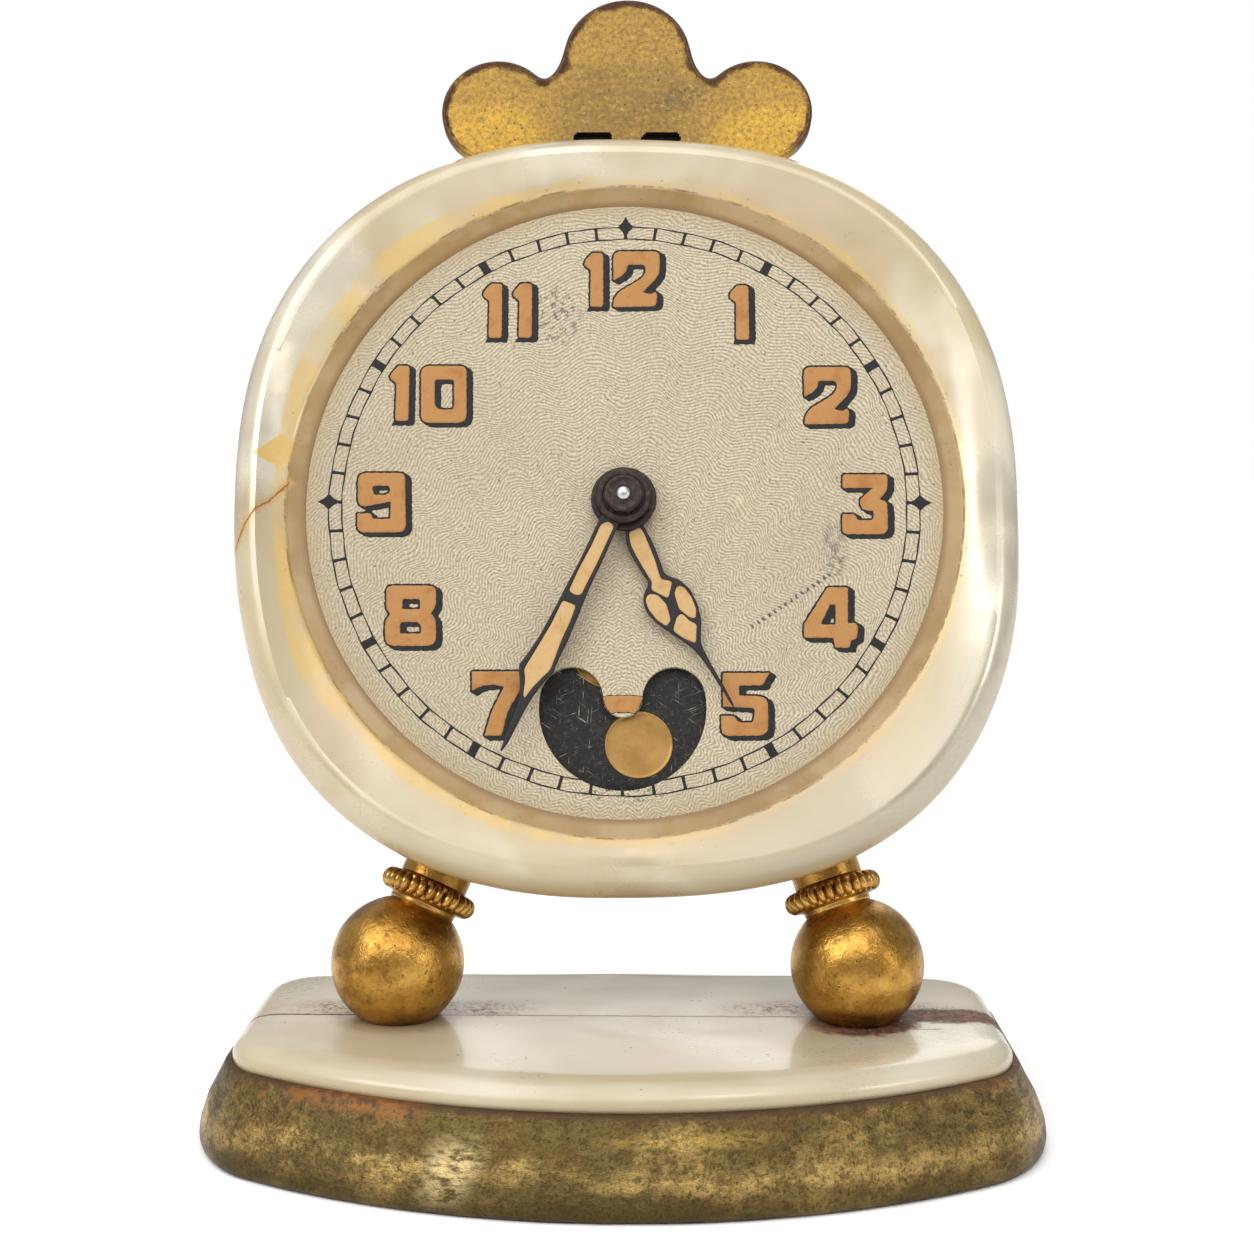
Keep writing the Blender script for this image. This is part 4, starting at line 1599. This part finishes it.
@dataclass
class Foot:
    """One ball foot with its beaded collar and neck, along the line to the dial's axis."""

    side: str
    lean: float
    ball_radius: float = 5.69
    ball_lift: float = 4.66
    hollow: float = 1.5
    flange: tuple[float, float, float] = (2.95, 4.87, 5.5)
    ring: tuple[float, float] = (5.5, 7.3)
    core: float = 3.6
    bead_count: int = 30
    bead: tuple[float, float, float] = (0.8, 0.455, 0.88)
    bead_pitch: float = 3.48
    neck: tuple[float, float, float] = (3.0, 7.3, 15.6)
    neck_bore: float = 1.9

    def __post_init__(self) -> None:
        """Work out the ball's centre and the matrix of the foot's own line."""
        sign = -1.0 if self.side == "left" else 1.0
        lean = math.radians(self.lean)
        centre = Vector((sign * FOOT_SPREAD + FEET_SIDEWAYS, 0.0, SLAB_TOP + self.ball_lift))
        along = head_matrix().to_3x3().normalized()
        along = along @ Vector((-sign * math.sin(lean), math.cos(lean), 0.0))
        turn = Vector((0.0, 0.0, 1.0)).rotation_difference(along).to_matrix().to_4x4()
        self.centre: Matrix = Matrix.Scale(MM, 4) @ Matrix.Translation(centre)
        self.line: Matrix = self.centre @ turn

    def build(self) -> None:
        """Ball, collar and neck, each from its own section."""
        pieces = (self._ball().build("ball_shell_" + self.side, self.centre, Coat.GILT, sharp=60.0),
                  self._neck().build("neck_tube_" + self.side, self.line, Coat.GILT),
                  self._collar().build("beaded_ring_" + self.side, self.line, Coat.COLLAR, sharp=60.0))
        for piece, node in zip(pieces, ("ball_foot_", "neck_", "bead_collar_")):
            settle(piece, "case")
            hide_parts(node + self.side)
        log.info("foot %s: ball, %d beads, neck", self.side, self.bead_count)

    def _ball(self) -> Draft:
        """Ball, flat where it stands on the slab, with faint dents."""
        radius, lift = self.ball_radius, self.ball_lift
        profile = [(radius * math.sin(t), radius * math.cos(t))
                   for t in np.linspace(0.0, math.acos(-lift / radius), 56)]
        profile[0] = (0.001, radius)
        net = lathe(profile + [(0.001, -lift)], 96)
        x, y, z = np.moveaxis(net[:-1], -1, 0)
        dent = 0.02 * np.sin(0.9 * x + 1.1) * np.sin(1.1 * y) * np.sin(0.8 * z + 0.5)
        net[:-1] *= (1.0 - np.abs(dent) / radius)[..., None]
        net[-2:, :, 2] = -lift
        draft = Draft()
        draft.grid(net, flip=True)
        return draft

    def _neck(self) -> Draft:
        """Neck tube from the collar into the drum."""
        radius, start, end = self.neck
        section = eased([(self.neck_bore, start), (radius - 0.12, start), (radius, start + 0.15),
                         (radius, end), (self.neck_bore, end), (self.neck_bore, start)], 0.08)
        draft = Draft()
        draft.grid(lathe(section, 64, 0.015))
        return draft

    def _collar(self) -> Draft:
        """Flange and core, with a row of egg-shaped beads, no two quite alike."""
        low, high = self.ring
        core = self.core
        radius, flange_low, flange_high = self.flange
        section = eased([(self.hollow, flange_low), (radius - 0.1, flange_low), (radius, flange_low + 0.2),
                         (radius, flange_high - 0.1), (core - 0.1, low + 0.02), (core, low + 0.15),
                         (core, high - 0.15), (core - 0.1, high), (self.hollow, high)], 0.08)
        draft = Draft()
        draft.grid(lathe(section, 72))
        depth, width, length = self.bead
        egg = [(math.sin(t), length * math.cos(t)) for t in np.linspace(0.02, math.pi - 0.02, 14)]
        for number in range(self.bead_count):
            size = 1.0 + 0.05 * math.sin(4.7 * number)
            x, y, z = np.moveaxis(lathe(egg, 24) * (depth, width * size, 1.0), -1, 0)
            turn = math.tau * number / self.bead_count + 0.012 * math.sin(9.1 * number)
            tilt = 0.05 * math.sin(3.3 * number)
            x, y = swung(x + self.bead_pitch, y + tilt * z, -turn)
            draft.grid(np.stack([x, y, z + (low + high) / 2], axis=-1), flip=True)
        return draft


# ---------------------------------------------------------------- slab and plinth

@dataclass(frozen=True)
class BowedPlan:
    """Plan of the base: bowed front and back, straight-drawn sides, rounded corners."""

    half_width: float = 32.6
    front: float = 18.3
    front_bow: float = 10.9
    back: float = 15.4
    back_bow: float = 1.3
    front_corner: float = 2.4
    back_corner: float = 5.0

    def outline(self, offset: float, count: int) -> np.ndarray:
        """Points round the plan, grown outwards by offset.

        Args:
            offset: growth in millimetres.
            count: number of points, evenly turned about the middle.

        Returns:
            Count x 2 points, anticlockwise from the right.
        """
        turn = turns(count)
        c, s = np.cos(turn), np.sin(turn)
        low, high = np.zeros(count), np.full(count, 60.0)
        for _ in range(40):
            middle = (low + high) / 2
            out = self.distance(middle * c, middle * s) > offset
            high, low = np.where(out, middle, high), np.where(out, low, middle)
        return np.stack([low * c, low * s], axis=1)

    def distance(self, x: np.ndarray, y: np.ndarray) -> np.ndarray:
        """Distance field of the plan: the two bows and the two sides, met smoothly."""
        def meet(edge: np.ndarray, size: float) -> np.ndarray:
            """Rounded corner between a side and a bow."""
            beyond = np.hypot(np.maximum(sides + size, 0.0), np.maximum(edge + size, 0.0))
            return np.minimum(np.maximum(sides, edge), -size) + beyond

        front_radius, back_radius = ((self.half_width ** 2 + bow ** 2) / (2 * bow)
                                     for bow in (self.front_bow, self.back_bow))
        sides = np.abs(x) - self.half_width
        front = np.hypot(x, y - (front_radius - self.front)) - front_radius
        back = np.hypot(x, y - (self.back - back_radius)) - back_radius
        share = np.clip((y + 2.0) / 4.0, 0.0, 1.0)
        return meet(front, self.front_corner) * (1.0 - share) + meet(back, self.back_corner) * share


@dataclass
class Slab:
    """Pearl slab in two pieces that butt along the line of the feet."""

    plan: BowedPlan = BowedPlan()
    joint: float = 0.05
    count: int = 720

    def build(self) -> None:
        """Front and rear piece, each cut from the same rounded loft."""
        section = eased([(0.15, SLAB_LOW), (0.0, SLAB_LOW + 0.2), (0.0, SLAB_LOW + 0.9),
                         (0.45, SLAB_LOW + 1.55), (1.25, SLAB_TOP - 0.22), (2.3, SLAB_TOP - 0.02)], 0.35)
        for name, sign in (("front", -1.0), ("rear", 1.0)):
            seam = sign * self.joint / 2
            keep = sign * self.plan.outline(0.0, self.count)[:, 1] > 0.0
            rows = []
            for inset, height in section:
                edge = self.plan.outline(-inset, self.count)[keep]
                edge = np.vstack([(edge[0, 0], 0.0), edge, (edge[-1, 0], 0.0)])
                edge[:, 1] = sign * np.maximum(sign * edge[:, 1], self.joint / 2)
                uneven = 0.03 * np.sin(0.35 * edge[:, 0] + inset) * (inset > 1.0)
                rows.append(np.column_stack([edge, height + uneven]))
            x, y, _ = rows[-1].T
            for share in (0.97, 0.9, 0.75, 0.5, 0.25, 0.0):
                rows.append(np.column_stack([x * share, seam + (y - seam) * share,
                                             np.full(len(x), SLAB_TOP)]))
            under = rows[0] * (0.0, 0.0, 1.0) + (0.0, seam, 0.0)
            net = np.array([under] + rows)
            draft = Draft()
            draft.grid(net, closed=False)
            starts = [row * net.shape[1] for row in range(len(net))]
            ends = [start + net.shape[1] - 1 for start in starts[1:-1]]
            draft.faces.append(tuple(starts + ends[::-1]))
            piece = draft.build("slab_" + name, ground_matrix(), Coat.SLAB, sharp=45.0)
            settle(piece, "case")
            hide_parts("pearl_slab_" + name)
        log.info("slab in two pieces")


@dataclass
class Plinth:
    """Cast plinth with swelling flanks, bruised a little."""

    plan: BowedPlan = BowedPlan()
    flare: float = 3.5
    ledge: float = 0.6
    flank: tuple[Point, ...] = ((0.10, 0.99), (0.32, 0.91), (0.55, 0.72), (0.78, 0.43))
    rim: float = 2.0
    recess: float = 0.6
    count: int = 420

    def build(self) -> None:
        """Loft of the flanks, the top under the slab and the recessed underside."""
        foot = self.flare - self.rim
        section = [(foot, self.recess), (foot, 0.0), (self.flare - 0.5, 0.0)]
        section += [(self.flare * swell, SLAB_LOW * rise) for rise, swell in self.flank]
        section += [(self.ledge + 0.1, SLAB_LOW - 0.15), (self.ledge, SLAB_LOW), (-2.0, SLAB_LOW)]
        rows = []
        for offset, height in eased(section, 0.7):
            edge = self.plan.outline(offset, self.count)
            x, y = edge.T
            swell = max(0.0, min(1.0, (offset - 0.8) / 2.0))
            bruise = 0.045 * np.sin(0.31 * x + 0.9) * np.sin(0.8 * height + 0.2 * y)
            bruise = bruise + 0.03 * np.sin(0.83 * x + 1.7 * height)
            edge = edge * (1.0 - swell * np.abs(bruise) / np.hypot(x, y))[:, None]
            rows.append(np.column_stack([edge, np.full(self.count, height)]))
        bottom, top = (row * (0.0, 0.0, 1.0) for row in (rows[0], rows[-1]))
        draft = Draft()
        draft.grid(np.array([bottom, *rows, top]))
        piece = draft.build("plinth_casting", ground_matrix(), Coat.BASE, sharp=60.0)
        settle(piece, "case")
        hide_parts("plinth")
        dress("base_pad", Coat.FELT)
        log.info("plinth: %d points", len(piece.data.vertices))


# ---------------------------------------------------------------- works and studio

@dataclass
class Works:
    """Case, back and movement, kept as the frame has them, in their own finishes."""

    coats: tuple[tuple[Coat, str], ...] = (
        (Coat.SHEET, "drum_case back_cover"),
        (Coat.GILT, "winding_key set_knob"),
        (Coat.WORKS, "main_plate rear_plate plate_pillars barrel barrel_cover centre_wheel third_wheel "
                     "fourth_wheel balance_wheel balance_cock minute_wheel hour_wheel day_wheel "
                     "ratchet_wheel"),
        (Coat.STEEL, "foot_screws neck_nuts case_screws back_screws plate_screws movement_screws "
                     "day_post moon_post moon_jumper barrel_arbor mainspring escape_wheel "
                     "pallet_lever regulator_index click click_spring"),
        (Coat.BLUED, "hairspring"))

    def build(self) -> None:
        """Dress every remaining node."""
        for coat, nodes in self.coats:
            for node in nodes.split():
                dress(node, coat)
        log.info("works: %d nodes dressed", sum(len(nodes.split()) for _, nodes in self.coats))


@dataclass
class Studio:
    """White floor, soft lights and the camera of the photograph."""

    lens: float = 57.416
    sensor: float = 36.0
    place: tuple[float, float, float] = (0.00256, -0.16760, 0.05999)
    turn: tuple[float, float, float] = (84.3683, -0.0831, 0.7704)
    ambient: float = 0.46
    overhead: float = 2.15
    floor: float = 3.0
    aim: tuple[float, float, float] = (0.0, 0.0, 0.05)
    softboxes: tuple[tuple[str, tuple[float, float, float], float, float], ...] = (
        ("key_softbox", (-0.26, -0.21, 0.21), 0.12, 0.34),
        ("top_softbox", (0.12, -0.26, 0.29), 0.1, 0.2),
        ("side_softbox", (0.30, -0.20, 0.13), 0.1, 0.16),
        ("rear_softbox", (0.05, 0.34, 0.26), 0.3, 0.5))

    def build(self) -> None:
        """Set the stage round the clock."""
        self._camera()
        self._floor()
        for softbox in self.softboxes:
            self._light(*softbox)
        self._sky_light()
        self._surroundings()
        bpy.context.scene.view_settings.view_transform = "Standard"
        log.info("studio set")

    def _sky_light(self) -> None:
        """Very soft overhead light that falls evenly on clock and floor."""
        data = bpy.data.lights.new("overhead", "SUN")
        data.energy = self.overhead
        data.angle = math.radians(70.0)
        lamp = placed("overhead", data)
        lamp.rotation_euler = Vector((0.25, 0.45, -1.0)).to_track_quat("-Z", "Y").to_euler()

    def _surroundings(self) -> None:
        """White surroundings that light the clock less than they show behind it."""
        world = bpy.data.worlds.new("studio")
        bpy.context.scene.world = world
        world.use_nodes = True
        tree = world.node_tree
        shade = next(node for node in tree.nodes if node.type == "BACKGROUND")
        shade.inputs["Color"].default_value = (1.0, 1.0, 1.0, 1.0)
        seen = tree.nodes.new("ShaderNodeLightPath")
        power = tree.nodes.new("ShaderNodeMapRange")
        power.inputs["To Min"].default_value = self.ambient
        power.inputs["To Max"].default_value = 1.0
        tree.links.new(seen.outputs["Is Camera Ray"], power.inputs["Value"])
        tree.links.new(power.outputs["Result"], shade.inputs["Strength"])

    def _camera(self) -> None:
        """Camera where the photograph was taken from."""
        data = bpy.data.cameras.new("camera")
        data.lens = self.lens
        data.sensor_width = self.sensor
        data.clip_start, data.clip_end = 0.005, 10.0
        camera = placed("camera", data)
        camera.location = self.place
        camera.rotation_euler = Euler(tuple(math.radians(a) for a in self.turn), "XYZ")
        bpy.context.scene.camera = camera

    def _floor(self) -> None:
        """Plain pale floor."""
        corners = [(x * self.floor, y * self.floor, 0.0) for x, y in ((-1, -1), (1, -1), (1, 1), (-1, 1))]
        mesh = bpy.data.meshes.new("floor")
        mesh.from_pydata(corners, [], [(0, 1, 2, 3)])
        mesh.materials.append(Coat.FLOOR.value.material())
        floor = placed("floor", mesh)

    def _light(self, name: str, place: tuple[float, float, float], size: float, power: float) -> None:
        """One square softbox that faces the clock."""
        data = bpy.data.lights.new(name, "AREA")
        data.energy = power
        data.size = size
        lamp = placed(name, data)
        lamp.location = place
        lamp.rotation_euler = (Vector(self.aim) - Vector(place)).to_track_quat("-Z", "Y").to_euler()


def dress(node: str, coat: Coat) -> None:
    """Give a node of the frame one finish in all its slots."""
    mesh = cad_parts[node].data
    material = coat.value.material()
    if not mesh.materials:
        mesh.materials.append(material)
    for number in range(len(mesh.materials)):
        mesh.materials[number] = material


def settle(piece: bpy.types.Object, body: str) -> None:
    """Make a piece ride on a body and name the slot of its finish."""
    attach(piece, body)


def main() -> None:
    """Build the clock from the base up, then set the studio."""
    logging.basicConfig(level=logging.INFO, format="%(name)s: %(message)s")
    for part in (Plinth(), Slab(), Foot("left", lean=22.8), Foot("right", lean=18.2), FrontPlate(),
                 Bezel(), Dial(), HOUR_HAND, MINUTE_HAND, Collet(), MoonWork(), Works(), Studio()):
        part.build()


if __name__ == "__main__":
    main()
